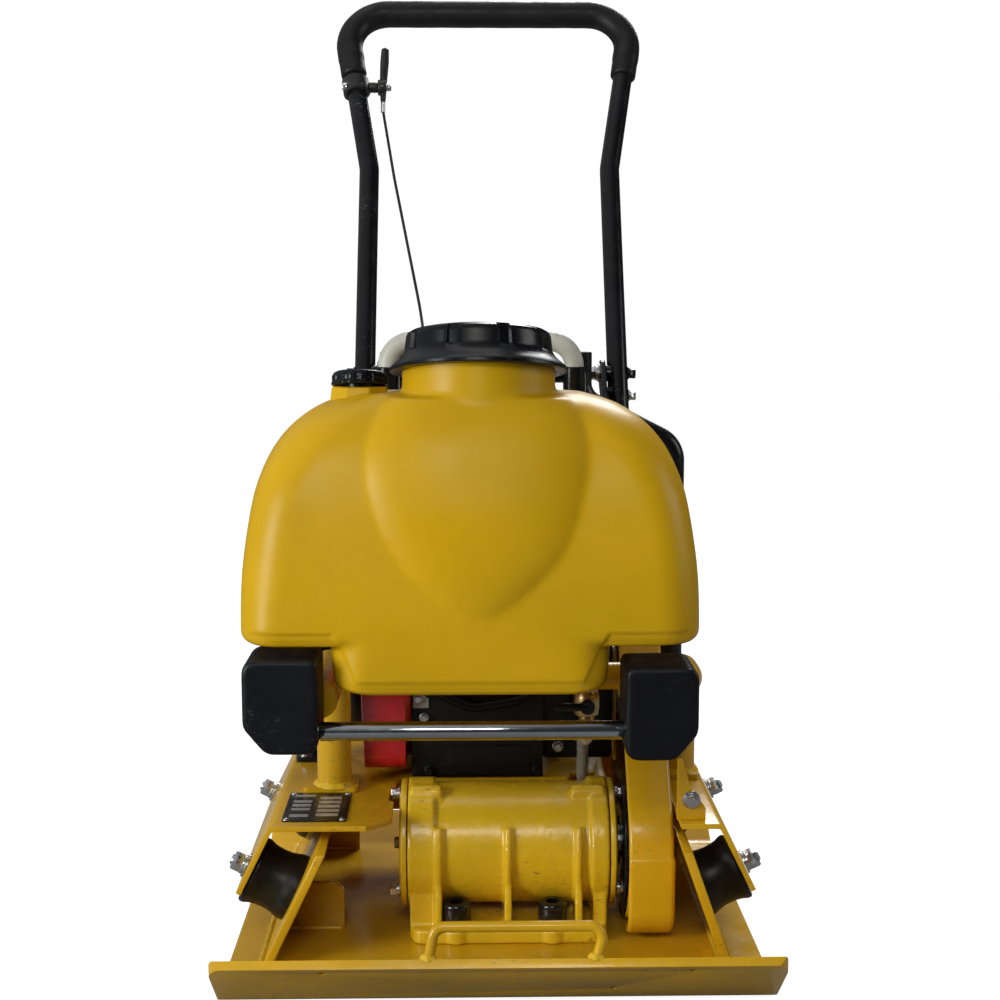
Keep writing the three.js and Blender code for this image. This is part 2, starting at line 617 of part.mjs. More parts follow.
function addWaterLine() {
  const { x, y } = TAP;
  const neck = rod(vec(x, y, 262), vec(x, y, 283.6), 9, 12);
  add('water_tap', join(neck, rod(vec(x, y, 236), vec(x, y, 264), 12, 12)), 'brass', 0.35, 0.8);
  const leverEnd = vec(x - 30, y - 16.5, 250);
  const boss = rod(vec(x, y - 12.4, 250), vec(x, y - 19, 250), 7, 12);
  add('tap_lever', join(boss, rod(vec(x, y - 16.5, 250), leverEnd, 3.5, 8)), 'black', 0.5, 0);
  const route = [[x, y, 235.7], [x, y, 214, 18], [91, 24, 196, 22], [91, 31, 150, 30], [91, 42, 120.5]];
  add('water_hose', bentTube(route, 6, 10, 0, 4), 'hose', 0.4, 0);
  add('spray_bar', rod(vec(-92, 52, 112), vec(106, 52, 112), 7.5, 14), 'yellow', 0.35, 0.1);
}

// ---------------------------------------------------------------- engine
function addEngineCore() {
  const floor = DECK.top + GAP;
  const side = [[47, floor, 3], [176, floor, 3], [176, 176, 20], [152, 318, 26], [72, 318, 26], [47, 286, 26]];
  const body = prismX(roundedOutline(side), -80, 56);
  const bore = rod(vec(-90, CRANK.y, CRANK.z), vec(80, CRANK.y, CRANK.z), 15, 16);
  const cover = rod(vec(50, CRANK.y, CRANK.z), vec(76, CRANK.y, CRANK.z), 58, 28, 44);
  add('crankcase', cut(join(body, cover), bore), 'black', 0.5, 0.3);
  const shaft = rod(vec(-128, CRANK.y, CRANK.z), vec(160, CRANK.y, CRANK.z), 11, 20);
  const flywheel = rod(vec(-126, CRANK.y, CRANK.z), vec(-92, CRANK.y, CRANK.z), 92, 32);
  add('crankshaft', join(shaft, flywheel), 'alloy', 0.4, 0.9);
}

function onCylinder(along) {
  return vec(-12, CRANK.y + along * 0.906, CRANK.z + along * 0.423);
}

function finBlock(from, to, half) {
  const length = to - from;
  const geometry = new THREE.BoxGeometry(2 * half, length, 2 * half - 8);
  geometry.translate(0, length / 2, 0);
  return aim(geometry, onCylinder(from), onCylinder(to));
}

function addCylinder() {
  const pieces = [finBlock(78, 150, 36)];
  for (let k = 0; k < 6; k += 1) {
    pieces.push(finBlock(84 + 12 * k, 88 + 12 * k, 49));
  }
  const crankcaseSide = [[47, 100], [176.4, 100], [176.4, 176], [152.4, 318.4], [47, 318.4]];
  const crankcase = prismX(roundedOutline(crankcaseSide), -100, 90);
  add('cylinder', cut(join(...pieces), crankcase), 'alloy', 0.5, 0.7);
  add('valve_cover', join(finBlock(150.4, 168, 44), finBlock(160, 182, 38)), 'black', 0.4, 0.3);
}

function addFanSide() {
  const round = beltOutline({ ...CRANK, r: 104 }, { y: 214, z: 290, r: 56 }, 12);
  const hollow = beltOutline({ ...CRANK, r: 100 }, { y: 214, z: 290, r: 52 }, 12);
  const shell = cut(prismX(round, -134, -84), prismX(hollow, -130, -80));
  const eye = rod(vec(-140, CRANK.y, CRANK.z), vec(-120, CRANK.y, CRANK.z), 60, 24);
  add('fan_housing', cut(shell, eye), 'red', 0.35, 0.1);
  const dome = [[0, 0], [0, 44], [6, 70], [14, 82], [26, 84], [26, 78], [17, 76], [9, 66], [5, 42], [5, 0]];
  const at = vec(-160.4, CRANK.y, CRANK.z);
  add('recoil_cover', turned(dome, at, at.clone().add(vec(10, 0, 0)), 28), 'black', 0.45, 0);
  const grip = vec(-153, 193, 300);
  const neck = rod(grip, grip.clone().add(vec(0, 12, 7)), 5, 10);
  const bar = rod(grip.clone().add(vec(-8, 15, 9)), grip.clone().add(vec(18, 15, 9)), 7, 12);
  add('recoil_grip', join(neck, bar), 'black', 0.5, 0);
}

function addFuelTank() {
  const plan = (inset) => roundedOutline([
    [-118 + inset, 38 + inset, 26], [62 - inset, 38 + inset, 26], [62 - inset, 200 - inset, 26],
    [-118 + inset, 200 - inset, 26],
  ]);
  const front = (inset) => roundedOutline([
    [-119 + inset, 384 + inset, 22], [63 - inset, 384 + inset, 22], [63 - inset, 466 - inset, 26],
    [-119 + inset, 466 - inset, 26],
  ]);
  const outer = overlapOf(prismZ(plan(0), 380, 470), prismY(front(0), 30, 210));
  const inner = overlapOf(prismZ(plan(3), 380, 470), prismY(front(3), 30, 210));
  const collar = rod(vec(-28, 150, 450), vec(-28, 150, 474), 17, 16);
  const mouth = rod(vec(-28, 150, 446), vec(-28, 150, 480), 13, 16);
  const brackets = [box(-79, -55, 84, 140, 318.6, 386), box(16, 46, 84, 140, 318.6, 386)];
  const shell = cut(join(outer, collar, ...brackets), inner, mouth);
  add('fuel_tank', shell, 'black', 0.35, 0.1);
  const lid = [[0, 18], [0, 27], [3, 29], [14, 28], [16, 25], [16, 0], [11, 0], [11, 18], [0, 18]];
  add('fuel_cap', turned(lid, vec(-28, 150, 466.4), vec(-28, 150, 480), 18), 'black', 0.4, 0);
}

function addEngineExtras() {
  const filter = roundedOutline([[-118, 358, 12], [-36, 358, 12], [-36, 452, 18], [-118, 452, 18]]);
  add('air_cleaner', prismY(filter, 212, 300), 'black', 0.5, 0);
  const can = roundedOutline([[36, 352, 26], [116, 352, 26], [116, 430, 26], [36, 430, 26]]);
  add('muffler', prismY(can, 218, 316), 'grey', 0.5, 0.6);
  const body = box(-82, -62, 201, 246, 316, 357.6);
  const bowl = rod(vec(-72, 232, 296), vec(-72, 232, 318), 9, 12);
  add('carburettor', join(body, bowl), 'alloy', 0.45, 0.8);
}

// ---------------------------------------------------------------- hoop, bail and handle
function addHoop() {
  const { r, y, leftX, rightX, neckLeft, neckRight, shoulderZ, neckZ } = HOOP;
  const floor = DECK.top + GAP;
  const top = 568;
  const corner = 26;
  const post = (legX, neckX) => bentTube([
    [legX, y, floor], [legX, y, shoulderZ, corner], [neckX, y, neckZ, corner], [neckX, y, top],
  ], r);
  const pieces = [post(leftX, neckLeft), post(rightX, neckRight)];
  pieces.push(rod(vec(neckLeft, y, 545), vec(neckRight, y, 545), 9, 14));
  for (const side of [-1, 1]) {
    const ear = [[100, 497, 6], [126, 497, 6], [184, 530, 13], [184, 557, 13], [157, 557, 13]];
    const x = side * PIVOT.plateX;
    pieces.push(prismX(roundedOutline(ear), x - 2.5, x + 2.5));
  }
  for (const [x0, x1] of [[-208, -166], [174, 208]]) {
    pieces.push(box(x0, x1, y - 26, y + 26, floor, floor + 5));
  }
  const bores = [-1, 1].map((side) => {
    return rod(vec(side * 110, PIVOT.y, PIVOT.z), vec(side * 130, PIVOT.y, PIVOT.z), 6.5, 16);
  });
  add('lifting_frame', cut(join(...pieces), ...bores), 'gloss', 0.3, 0.1);
}

function addBail() {
  const { r, y, leftX, rightX, topZ, bottomZ } = BAIL;
  const hoop = bentTube([[leftX, y, bottomZ], [leftX, y, topZ, 26], [rightX, y, topZ, 26], [rightX, y, bottomZ]], r);
  const back = HOOP.y - HOOP.r - GAP;
  const blocks = [
    box(leftX - 8, leftX + 12, y, back, 520, 548),
    box(rightX - 6, rightX + 12, y, back, 520, 548),
  ];
  add('lifting_bail', join(hoop, ...blocks), 'grey', 0.4, 0.4);
}

function handlePath() {
  const { endY, endZ, kinkY, kinkZ, topX, topY, topZ, corner } = HANDLE;
  const right = [[PIVOT.x, endY, endZ], [PIVOT.x, kinkY, kinkZ, 60], [topX, topY, topZ, corner]];
  const left = right.map(([x, y, z, r]) => [-x, y, z, r]);
  return [...left, ...right.reverse()];
}

function addHandle() {
  const tube = bentTube(handlePath(), HANDLE.r, 10, 0, 5);
  const links = [-1, 1].map((side) => {
    const foot = side * (PIVOT.plateX + 2.5 + GAP);
    return rod(vec(foot, PIVOT.y, PIVOT.z), vec(side * PIVOT.x, PIVOT.y, PIVOT.z), 9, 16);
  });
  add('handle_frame', join(tube, ...links), 'gloss', 0.2, 0.2);
  for (const [name, side] of [['pivot_bolt_left', -1], ['pivot_bolt_right', 1]]) {
    const inner = PIVOT.plateX - 2.5 - GAP;
    const at = (x) => vec(side * x, PIVOT.y, PIVOT.z);
    const shank = rod(at(inner - 2), at(PIVOT.plateX + 2.5), 6.2, 16);
    add(name, join(shank, rod(at(inner - 11), at(inner), 10, 6)), 'zinc', 0.3, 0.9);
  }
}

// Point on the upper part of the handle's tube: share 0 at the kink, 1 at the top corner.
function alongHandle(share, side) {
  const kink = vec(side * PIVOT.x, HANDLE.kinkY, HANDLE.kinkZ);
  return kink.lerp(vec(side * HANDLE.topX, HANDLE.topY, HANDLE.topZ), share);
}

function addGrip() {
  const { topX, topY, topZ, corner } = HANDLE;
  const route = [
    alongHandle(GRIP.start, -1).toArray(), [-topX, topY, topZ, corner], [topX, topY, topZ, corner],
    alongHandle(GRIP.start, 1).toArray(),
  ];
  add('handle_grip', bentTube(route, GRIP.r, 10, GRIP.bore, 5), 'rubber', 0.9, 0);
}

function addThrottle() {
  const low = alongHandle(0.47, -1);
  const high = alongHandle(0.56, -1);
  const band = ring(15.5, HANDLE.r + 0.4, low, high, 20);
  const middle = low.clone().lerp(high, 0.5);
  const seat = middle.clone().add(vec(13, 0, 0));
  const lug = rod(seat, seat.clone().add(vec(12, 0, 0)), 6, 12);
  add('throttle_clamp', join(band, lug), 'black', 0.4, 0.2);
  const pin = seat.clone().add(vec(12 + GAP, 0, 0));
  const hub = rod(pin, pin.clone().add(vec(9, 0, 0)), 9, 14);
  const hubMid = pin.clone().add(vec(6, 0, 0));
  const paddle = rod(hubMid, hubMid.clone().add(vec(2, 16, 46)), 4, 8, 5.5);
  const tab = rod(hubMid, hubMid.clone().add(vec(0, -6, -17)), 4, 8, 3);
  add('throttle_lever', join(hub, paddle, tab), 'black', 0.35, 0.2);
  const top = pin.clone().add(vec(6, -8, -27));
  const route = [
    [top.x, top.y, top.z], [top.x + 22, top.y - 58, top.z - 78, 200], [-70, 200, 575, 200], [-72, 206, 430, 60],
    [-72, 206, 358],
  ];
  add('throttle_cable', bentTube(route, 1.6, 8, 0, 5), 'black', 0.5, 0);
}

// ---------------------------------------------------------------- assembly
addBasePlate();
addSideWall('side_wall_left', -1);
addSideWall('side_wall_right', 1);
addFrontLoop();
addExciterHousing();
addExciterEnds();
addEccentric();
addBeltDrive();
addFootBolts();
addDeck();
for (const [end, y] of [['front', ISOLATOR.frontY], ['rear', ISOLATOR.rearY]]) {
  addIsolator(`${end}_left`, -1, y);
  addIsolator(`${end}_right`, 1, y);
}
addBeltGuard();
addTankFrame();
addBumper('bumper_left', BUMPER.leftX, -1);
addBumper('bumper_right', BUMPER.rightX, 1);
const rodStart = vec(BUMPER.leftX + BUMPER.width + GAP, ROD.y, ROD.z);
add('front_rod', rod(rodStart, vec(BUMPER.rightX - GAP, ROD.y, ROD.z), ROD.r, 20), 'chrome', 0.12, 1);
addTank();
addTankCaps();
addWaterLine();
addEngineCore();
addCylinder();
addFanSide();
addFuelTank();
addEngineExtras();
addHoop();
addBail();
addHandle();
addGrip();
addThrottle();

export default model;
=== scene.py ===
"""Looks of a forward plate compactor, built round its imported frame. Lengths in the shape code are millimetres."""
from math import acos, atan2, cos, hypot, pi, radians, sin, tan

import bmesh
import bpy
import numpy as np
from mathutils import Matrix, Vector


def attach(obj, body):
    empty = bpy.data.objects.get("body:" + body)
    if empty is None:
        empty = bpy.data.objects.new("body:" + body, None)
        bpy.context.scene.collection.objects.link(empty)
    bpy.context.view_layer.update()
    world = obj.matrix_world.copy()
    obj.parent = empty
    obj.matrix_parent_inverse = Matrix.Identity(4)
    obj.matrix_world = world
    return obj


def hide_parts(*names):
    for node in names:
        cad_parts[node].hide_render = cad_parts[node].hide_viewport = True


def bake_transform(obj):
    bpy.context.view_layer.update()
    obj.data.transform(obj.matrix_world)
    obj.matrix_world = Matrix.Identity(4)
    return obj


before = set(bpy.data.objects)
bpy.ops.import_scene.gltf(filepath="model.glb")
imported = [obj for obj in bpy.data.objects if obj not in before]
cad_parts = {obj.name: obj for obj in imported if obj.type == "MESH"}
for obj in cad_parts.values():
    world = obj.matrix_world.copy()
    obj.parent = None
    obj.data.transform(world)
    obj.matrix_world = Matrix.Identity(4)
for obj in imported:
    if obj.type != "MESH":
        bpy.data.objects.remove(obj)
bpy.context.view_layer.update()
MM = 0.001
scene = bpy.context.scene


def add(name, data):
    obj = bpy.data.objects.new(name, data)
    scene.collection.objects.link(obj)
    return obj


# ---------------- camera
CAMERA_AT = (-0.028, -1.612, 0.632)
LENS_MM, SENSOR_MM = 59.4, 36.0
PITCH_DOWN, YAW = 7.25, 1.2

cam_data = bpy.data.cameras.new("camera")
cam_data.lens, cam_data.sensor_width = LENS_MM, SENSOR_MM
cam = add("camera", cam_data)
cam.location = CAMERA_AT
cam.rotation_euler = (radians(90 - PITCH_DOWN), 0, radians(-YAW))
scene.camera = cam


# ---------------- shapes: a shell is (points, faces)
def fillet(before, here, after, r, steps):
    """Points of the arc of radius r that rounds a corner."""
    before, here, after = Vector(before), Vector(here), Vector(after)
    back, ahead = (before - here).normalized(), (after - here).normalized()
    half = acos(max(-1, min(1, back.dot(ahead)))) / 2
    start = here + back * (r / tan(half))
    centre = here + (back + ahead).normalized() * (r / sin(half))
    arm, side, sweep = start - centre, back * -r, pi - 2 * half
    return [centre + arm * cos(sweep * k / steps) + side * sin(sweep * k / steps) for k in range(steps + 1)]


def rounded(corners, steps=6):
    """Closed outline; each corner is (u, v) or (u, v, radius)."""
    out = []
    for i, c in enumerate(corners):
        if len(c) < 3:
            out.append(Vector(c))
        else:
            out += fillet(corners[i - 1][:2], c[:2], corners[(i + 1) % len(corners)][:2], c[2], steps)
    return out


def bent(corners, steps=8):
    """Points of a bent line in the plane or in space; each inner corner carries its radius last."""
    at = [Vector(c) for c in (corners[0], *(c[:-1] for c in corners[1:-1]), corners[-1])]
    out = [at[0]]
    for i in range(1, len(at) - 1):
        out += fillet(at[i - 1], at[i], at[i + 1], corners[i][-1], steps)
    return out + [at[-1]]


def strip(line, thick):
    """Outline of a sheet whose one side is the line."""
    other = []
    for i, p in enumerate(line):
        along = (line[min(i + 1, len(line) - 1)] - line[max(i - 1, 0)]).normalized()
        other.append(Vector((p.x - along.y * thick, p.y + along.x * thick)))
    return list(line) + other[::-1]


def prism(axis, outline, lo, hi):
    """Outline swept along an axis; its (u, v) are the other two coordinates."""
    i, n = "xyz".index(axis), len(outline)
    points = [(*p[:i], w, *p[i:2]) for w in (lo, hi) for p in outline]
    faces = [tuple(range(n)), tuple(range(2 * n - 1, n - 1, -1))]
    faces += [(k, (k + 1) % n, n + (k + 1) % n, n + k) for k in range(n)]
    return points, faces


def block(x0, x1, y0, y1, z0, z1):
    return prism("z", [(x0, y0), (x1, y0), (x1, y1), (x0, y1)], z0, z1)


def pad(axis, u0, u1, v0, v1, r, lo, hi, steps=6):
    """Prism of a rectangle with round corners."""
    return prism(axis, rounded([(u0, v0, r), (u1, v0, r), (u1, v1, r), (u0, v1, r)], steps), lo, hi)


def across(direction):
    d = Vector(direction).normalized()
    helper = Vector((0, 0, 1)) if abs(d.z) < 0.9 else Vector((1, 0, 0))
    u = d.cross(helper).normalized()
    return d, u, d.cross(u).normalized()


def lathe(profile, origin, direction, sides=40, radius_at=None, start=0.0):
    """Turned shape; profile is [(along, radius)], radius 0 closes it, and radius_at(angle, along, r) may change it."""
    d, u, v = across(direction)
    origin = Vector(origin)
    points, faces, rings = [], [], []
    for along, r in profile:
        centre = origin + d * along
        if r <= 0:
            rings.append([len(points)])
            points.append(tuple(centre))
            continue
        rings.append(list(range(len(points), len(points) + sides)))
        for k in range(sides):
            a = start + 2 * pi * k / sides
            rr = radius_at(a, along, r) if radius_at else r
            points.append(tuple(centre + u * (rr * cos(a)) + v * (rr * sin(a))))
    closed = profile[0] == profile[-1] and profile[0][1] > 0
    for a, b in zip(rings, rings[1:-1] + [rings[0]] if closed else rings[1:]):
        for k in range(sides):
            n = (k + 1) % sides
            if len(a) > 1 and len(b) > 1:
                faces.append((a[k], a[n], b[n], b[k]))
            elif len(b) > 1:
                faces.append((a[0], b[n], b[k]))
            elif len(a) > 1:
                faces.append((a[k], a[n], b[0]))
    return points, faces


def rod(a, b, r, sides=32, round_off=0.8):
    a, b = Vector(a), Vector(b)
    high = (b - a).length
    e = min(round_off, r * 0.4, high * 0.4)
    profile = [(0, 0), (0, r - e), (e * 0.3, r - e * 0.3), (e, r), (high - e, r), (high - e * 0.3, r - e * 0.3),
        (high, r - e), (high, 0)]
    return lathe(profile, a, b - a, sides)


def axle(x0, x1, at, r, sides=32, round_off=0.8):
    """Rod parallel to x, through at = (y, z)."""
    return rod((x0, *at), (x1, *at), r, sides, round_off)


def ring(outer, inner, a, b, sides=40, e=0.8):
    high = (Vector(b) - Vector(a)).length
    profile = [(0, inner), (0, outer - e), (e, outer), (high - e, outer), (high, outer - e), (high, inner), (0, inner)]
    return lathe(profile, a, Vector(b) - Vector(a), sides)


def hexagon(a, direction, size, high, start=0.0):
    r = size / 3 ** 0.5
    return lathe([(0, 0), (0, r * 0.93), (high * 0.12, r), (high * 0.85, r), (high, r * 0.87), (high, 0)], a, direction,
        6, start=start)


THREAD = 1.5


def bolt(at, direction, size=10, washer=None, stud=0.0, start=0.3):
    """Hex head on a washer; stud adds a threaded end beyond it."""
    d = Vector(direction).normalized()
    at = Vector(at)
    washer = washer or size * 0.68
    shells = [rod(at, at + d * size * 0.14, washer, 28, 0.4),
        rod(at + d * size * 0.14, at + d * size * 0.32, washer * 0.82, 28, 0.4),
        hexagon(at + d * size * 0.3, d, size, size * 0.6, start)]
    if stud:
        profile = [(0, 0)]
        for k in range(int(stud / THREAD)):
            profile += [(k * THREAD, size * 0.27), ((k + 0.5) * THREAD, size * 0.31)]
        shells.append(lathe(profile + [(stud, size * 0.25), (stud, 0)], at + d * size * 0.86, d, 20))
    return shells


def bolts(places, direction, size, washer):
    return [shell for at in places for shell in bolt(at, direction, size, washer)]


def around(x, centre, r, degrees):
    """Point of a circle round an axis parallel to x."""
    return x, centre[0] + r * cos(radians(degrees)), centre[1] + r * sin(radians(degrees))


def arc(centre, r, degrees):
    """Points (y, z) of a circle."""
    return [around(0, centre, r, a)[1:] for a in degrees]


def tube(path, r, sides=24, ends=1.0):
    """Sweep of a circle of radius r, or r(share), along path, with rounded ends."""
    path = [Vector(p) for p in path]
    lengths = [0.0]
    for a, b in zip(path, path[1:]):
        lengths.append(lengths[-1] + (b - a).length)
    tangents = [(path[min(i + 1, len(path) - 1)] - path[max(i - 1, 0)]).normalized() for i in range(len(path))]
    _, u, _ = across(tangents[0])
    points, faces, rings = [], [], []

    def section(centre, t, radius):
        nonlocal u
        u = (u - t * u.dot(t)).normalized()
        v = t.cross(u)
        rings.append(list(range(len(points), len(points) + sides)))
        for k in range(sides):
            a = 2 * pi * k / sides
            points.append(tuple(centre + u * (radius * cos(a)) + v * (radius * sin(a))))

    size = r if callable(r) else lambda share: r
    section(path[0], tangents[0], size(0) - ends)
    section(path[0] + tangents[0] * ends, tangents[0], size(0))
    for i in range(1, len(path) - 1):
        section(path[i], tangents[i], size(lengths[i] / lengths[-1]))
    section(path[-1] - tangents[-1] * ends, tangents[-1], size(1))
    section(path[-1], tangents[-1], size(1) - ends)
    for a, b in zip(rings, rings[1:]):
        faces += [(a[k], a[(k + 1) % sides], b[(k + 1) % sides], b[k]) for k in range(sides)]
    return points, faces + [tuple(reversed(rings[0])), tuple(rings[-1])]


def round_two(low, high, sides=40):
    """Outline round two circles (y, z, r), the lower one first."""
    apart = hypot(high[0] - low[0], high[1] - low[1])
    heading = atan2(high[1] - low[1], high[0] - low[0])
    opening = acos((low[2] - high[2]) / apart)
    out = []
    for (y, z, r), first, sweep in ((high, heading - opening, 2 * opening),
            (low, heading + opening, 2 * pi - 2 * opening)):
        out += [Vector((y + r * cos(first + sweep * k / sides), z + r * sin(first + sweep * k / sides)))
            for k in range(sides + 1)]
    return out


def loft(sections):
    n = len(sections[0])
    points = [p for s in sections for p in s]
    faces = [(r * n + k, r * n + (k + 1) % n, (r + 1) * n + (k + 1) % n, (r + 1) * n + k)
        for r in range(len(sections) - 1) for k in range(n)]
    last = (len(sections) - 1) * n
    return points, faces + [tuple(range(n - 1, -1, -1)), tuple(range(last, last + n))]


def lumpy(count):
    """Uneven edge of a weld round a tube."""
    return lambda a, along, r: r + 0.5 * sin(count * a)


# ---------------- pieces
def to_mesh(name, shells):
    bm = bmesh.new()
    for points, faces in shells:
        verts = [bm.verts.new(Vector(p) * MM) for p in points]
        for f in faces:
            bm.faces.new([verts[i] for i in f])
    bmesh.ops.remove_doubles(bm, verts=bm.verts, dist=1e-7)
    bmesh.ops.recalc_face_normals(bm, faces=bm.faces)
    mesh = bpy.data.meshes.new(name)
    bm.to_mesh(mesh)
    bm.free()
    return mesh


def settle(obj):
    """Applies every modifier."""
    bpy.context.view_layer.update()
    done = bpy.data.meshes.new_from_object(obj.evaluated_get(bpy.context.evaluated_depsgraph_get()))
    obj.modifiers.clear()
    obj.data = done


def carve(obj, shells, how="DIFFERENCE", use_self=False):
    """Boolean with each shell; use_self is for an object whose own shells overlap in thin layers."""
    for shell in shells:
        tool = add("tool", to_mesh("tool", [shell]))
        mod = obj.modifiers.new("carve", "BOOLEAN")
        mod.operation, mod.object, mod.solver, mod.use_self = how, tool, "EXACT", use_self
        settle(obj)
        bpy.data.objects.remove(tool)


def soften(obj, voxel, rounds):
    """Melts the shells into one skin and smooths it."""
    mod = obj.modifiers.new("remesh", "REMESH")
    mod.mode, mod.voxel_size = "VOXEL", voxel * MM
    mod = obj.modifiers.new("smooth", "SMOOTH")
    mod.factor, mod.iterations = 0.5, rounds
    settle(obj)


EDGE_ANGLE = 32


def bevel(obj, width, segments=3):
    mod = obj.modifiers.new("bevel", "BEVEL")
    mod.width, mod.segments = width * MM, segments
    mod.limit_method, mod.angle_limit = "ANGLE", radians(EDGE_ANGLE)
    mod.use_clamp_overlap = True
    settle(obj)


def dress(obj, material, crease=38):
    obj.data.materials.clear()
    obj.data.materials.append(material)
    obj.data.shade_smooth()
    if crease:
        obj.data.set_sharp_from_angle(angle=radians(crease))


def piece(name, shells, body, look, node="", edge=0.0, segments=3, cuts=(), keep=(), hollow=(), crease=38):
    """body is a body's name, or (body, other body, start, end) for a piece that lies between two of them; such a piece
    is left in place, attached to no body, and the tuple's entries are not used.
    look is (slot, material), whose slot is not used; node is the CAD node it stands for. keep and cuts shape it
    before its edges are rounded, hollow after."""
    obj = add(name, to_mesh(name, shells))
    carve(obj, keep, "INTERSECT")
    carve(obj, cuts)
    if edge:
        bevel(obj, edge, segments)
    carve(obj, hollow)
    slot, material = look
    dress(obj, material, crease)
    if isinstance(body, str):
        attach(obj, body)
    else:
        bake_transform(obj)
    if node:
        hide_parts(node)
    return obj


# ---------------- materials
class Graph:
    """Places and links the shader nodes of a material or a world."""

    def __init__(self, owner, shader="Principled BSDF", place="Object"):
        owner.use_nodes = True
        self.tree = owner.node_tree
        self.shader = self.tree.nodes[shader]
        self.place = self.node("ShaderNodeTexCoord").outputs[place]

    def put(self, socket, value):
        """Links an input to another node's output, or sets its value."""
        if isinstance(value, bpy.types.NodeSocket):
            self.tree.links.new(value, socket)
        else:
            socket.default_value = value

    def node(self, kind, **settings):
        made = self.tree.nodes.new(kind)
        for key, value in settings.items():
            label = key.replace("_", " ")
            if label in made.inputs:
                self.put(made.inputs[label], value)
            else:
                setattr(made, key, value)
        return made

    def shade(self, **values):
        for key, value in values.items():
            self.put(self.shader.inputs[key.replace("_", " ")], value)

    def noise(self, scale, detail=3.0, stretch=(1, 1, 1), roughness=0.5):
        where = self.place
        if stretch != (1, 1, 1):
            where = self.node("ShaderNodeMapping", Vector=where, Scale=stretch).outputs["Vector"]
        made = self.node("ShaderNodeTexNoise", Vector=where, Scale=scale, Detail=detail, Roughness=roughness)
        return made.outputs["Fac"]

    def ramp(self, value, low, high, from_value=0.0, to_value=1.0):
        return self.node("ShaderNodeMapRange", interpolation_type="SMOOTHSTEP", Value=value, From_Min=low,
            From_Max=high, To_Min=from_value, To_Max=to_value).outputs["Result"]

    def mix(self, share, a, b):
        made = self.node("ShaderNodeMix", data_type="RGBA")
        for socket, value in ((made.inputs[0], share), (made.inputs[6], a), (made.inputs[7], b)):
            self.put(socket, (*value, 1) if isinstance(value, tuple) else value)
        return made.outputs[2]

    def times(self, a, b):
        made = self.node("ShaderNodeMath", operation="MULTIPLY")
        self.put(made.inputs[0], a)
        self.put(made.inputs[1], b)
        return made.outputs[0]

    def bump(self, height, distance, **under):
        return self.node("ShaderNodeBump", Strength=1.0, Distance=distance, Height=height, **under).outputs["Normal"]


SOIL, EARTH = (0.30, 0.22, 0.11), (0.30, 0.17, 0.04)
WORN, GREY = (0.3, 0.28, 0.24), (0.05, 0.05, 0.05)
DUSTY_BELOW = 0.16  # metres


def finish_of(name, colour, rough, metal=0.0, spec=0.5, tone=(0.82, 1.08), patch=9.0, grain=(900, 5e-5), coat=(0, 0.1),
        dust=(0, SOIL), wear=(0, WORN), waves=(0, 60), brushed=(1, 1, 1)):
    """Material with slow patches of tone (darkest, lightest), fine grain (scale, height in metres), dust (amount,
    colour) that lies low, scattered scuffs (amount, colour), and waves (height, scale) in the surface."""
    material = bpy.data.materials.new(name)
    g = Graph(material)
    dark = tuple(c * tone[0] for c in colour)
    lit = tuple(min(1, c * tone[1]) for c in colour)
    tint = g.mix(g.ramp(g.noise(patch, 4), 0.32, 0.68), dark, lit)
    fleck = g.ramp(g.noise(patch * 22, 2), 0.25, 0.8, 0.0, 0.22)
    tint = g.mix(fleck, tint, dark)
    gloss = g.ramp(g.noise(patch * 3.5, 5), 0.3, 0.7, *rough)
    if wear[0]:
        scratches = g.ramp(g.noise(420, 3, (0.35, 1, 1)), 0.60, 0.66)
        scuff = g.times(scratches, g.ramp(g.noise(13, 3), 0.56 - wear[0] * 0.1, 0.68))
        tint = g.mix(scuff, tint, wear[1])
    if dust[0]:
        low = g.ramp(g.node("ShaderNodeSeparateXYZ", Vector=g.place).outputs["Z"], DUSTY_BELOW, 0.0)
        patchy = g.times(low, g.ramp(g.noise(23, 6, roughness=0.65), 0.42, 0.75, 0.0, dust[0]))
        tint = g.mix(patchy, tint, dust[1])
    normal = g.bump(g.noise(grain[0], 2, brushed), grain[1])
    if waves[0]:
        normal = g.bump(g.noise(waves[1], 2), waves[0], Normal=normal)
    g.shade(Base_Color=tint, Roughness=gloss, Metallic=metal, Specular_IOR_Level=spec, Coat_Weight=coat[0],
        Coat_Roughness=coat[1], Normal=normal)
    return material


paint = finish_of("yellow_paint", (0.63, 0.355, 0.009), (0.16, 0.30), spec=0.3, tone=(0.86, 1.06), patch=7,
    grain=(500, 2e-5), coat=(0.25, 0.06), dust=(0.1, EARTH), wear=(0.2, (0.33, 0.2, 0.03)), waves=(25e-5, 75))
cast_paint = finish_of("cast_yellow_paint", (0.70, 0.44, 0.012), (0.24, 0.38), spec=0.45, tone=(0.86, 1.06), patch=12,
    grain=(330, 16e-5), coat=(0.25, 0.12), dust=(0.12, EARTH), wear=(0.35, (0.28, 0.16, 0.03)), waves=(7e-4, 95))
tank_skin = finish_of("tank_plastic", (0.58, 0.338, 0.004), (0.30, 0.42), spec=0.2, tone=(0.88, 1.05), patch=5,
    grain=(1300, 4e-5), waves=(6e-4, 20))
cap_plastic = finish_of("black_plastic", (0.004, 0.0042, 0.006), (0.2, 0.33), spec=0.22, tone=(0.82, 1.4),
    grain=(1100, 4e-5), wear=(0.15, (0.05, 0.05, 0.055)))
bumper_rubber = finish_of("bumper_rubber", (0.0035, 0.0038, 0.0062), (0.34, 0.48), spec=0.22, tone=(0.82, 1.35),
    patch=14, grain=(700, 8e-5), wear=(0.4, (0.032, 0.030, 0.029)), waves=(3e-4, 60))
mount_rubber = finish_of("mount_rubber", (0.004, 0.004, 0.0048), (0.30, 0.45), spec=0.25, grain=(650, 1e-4),
    dust=(0.12, SOIL))
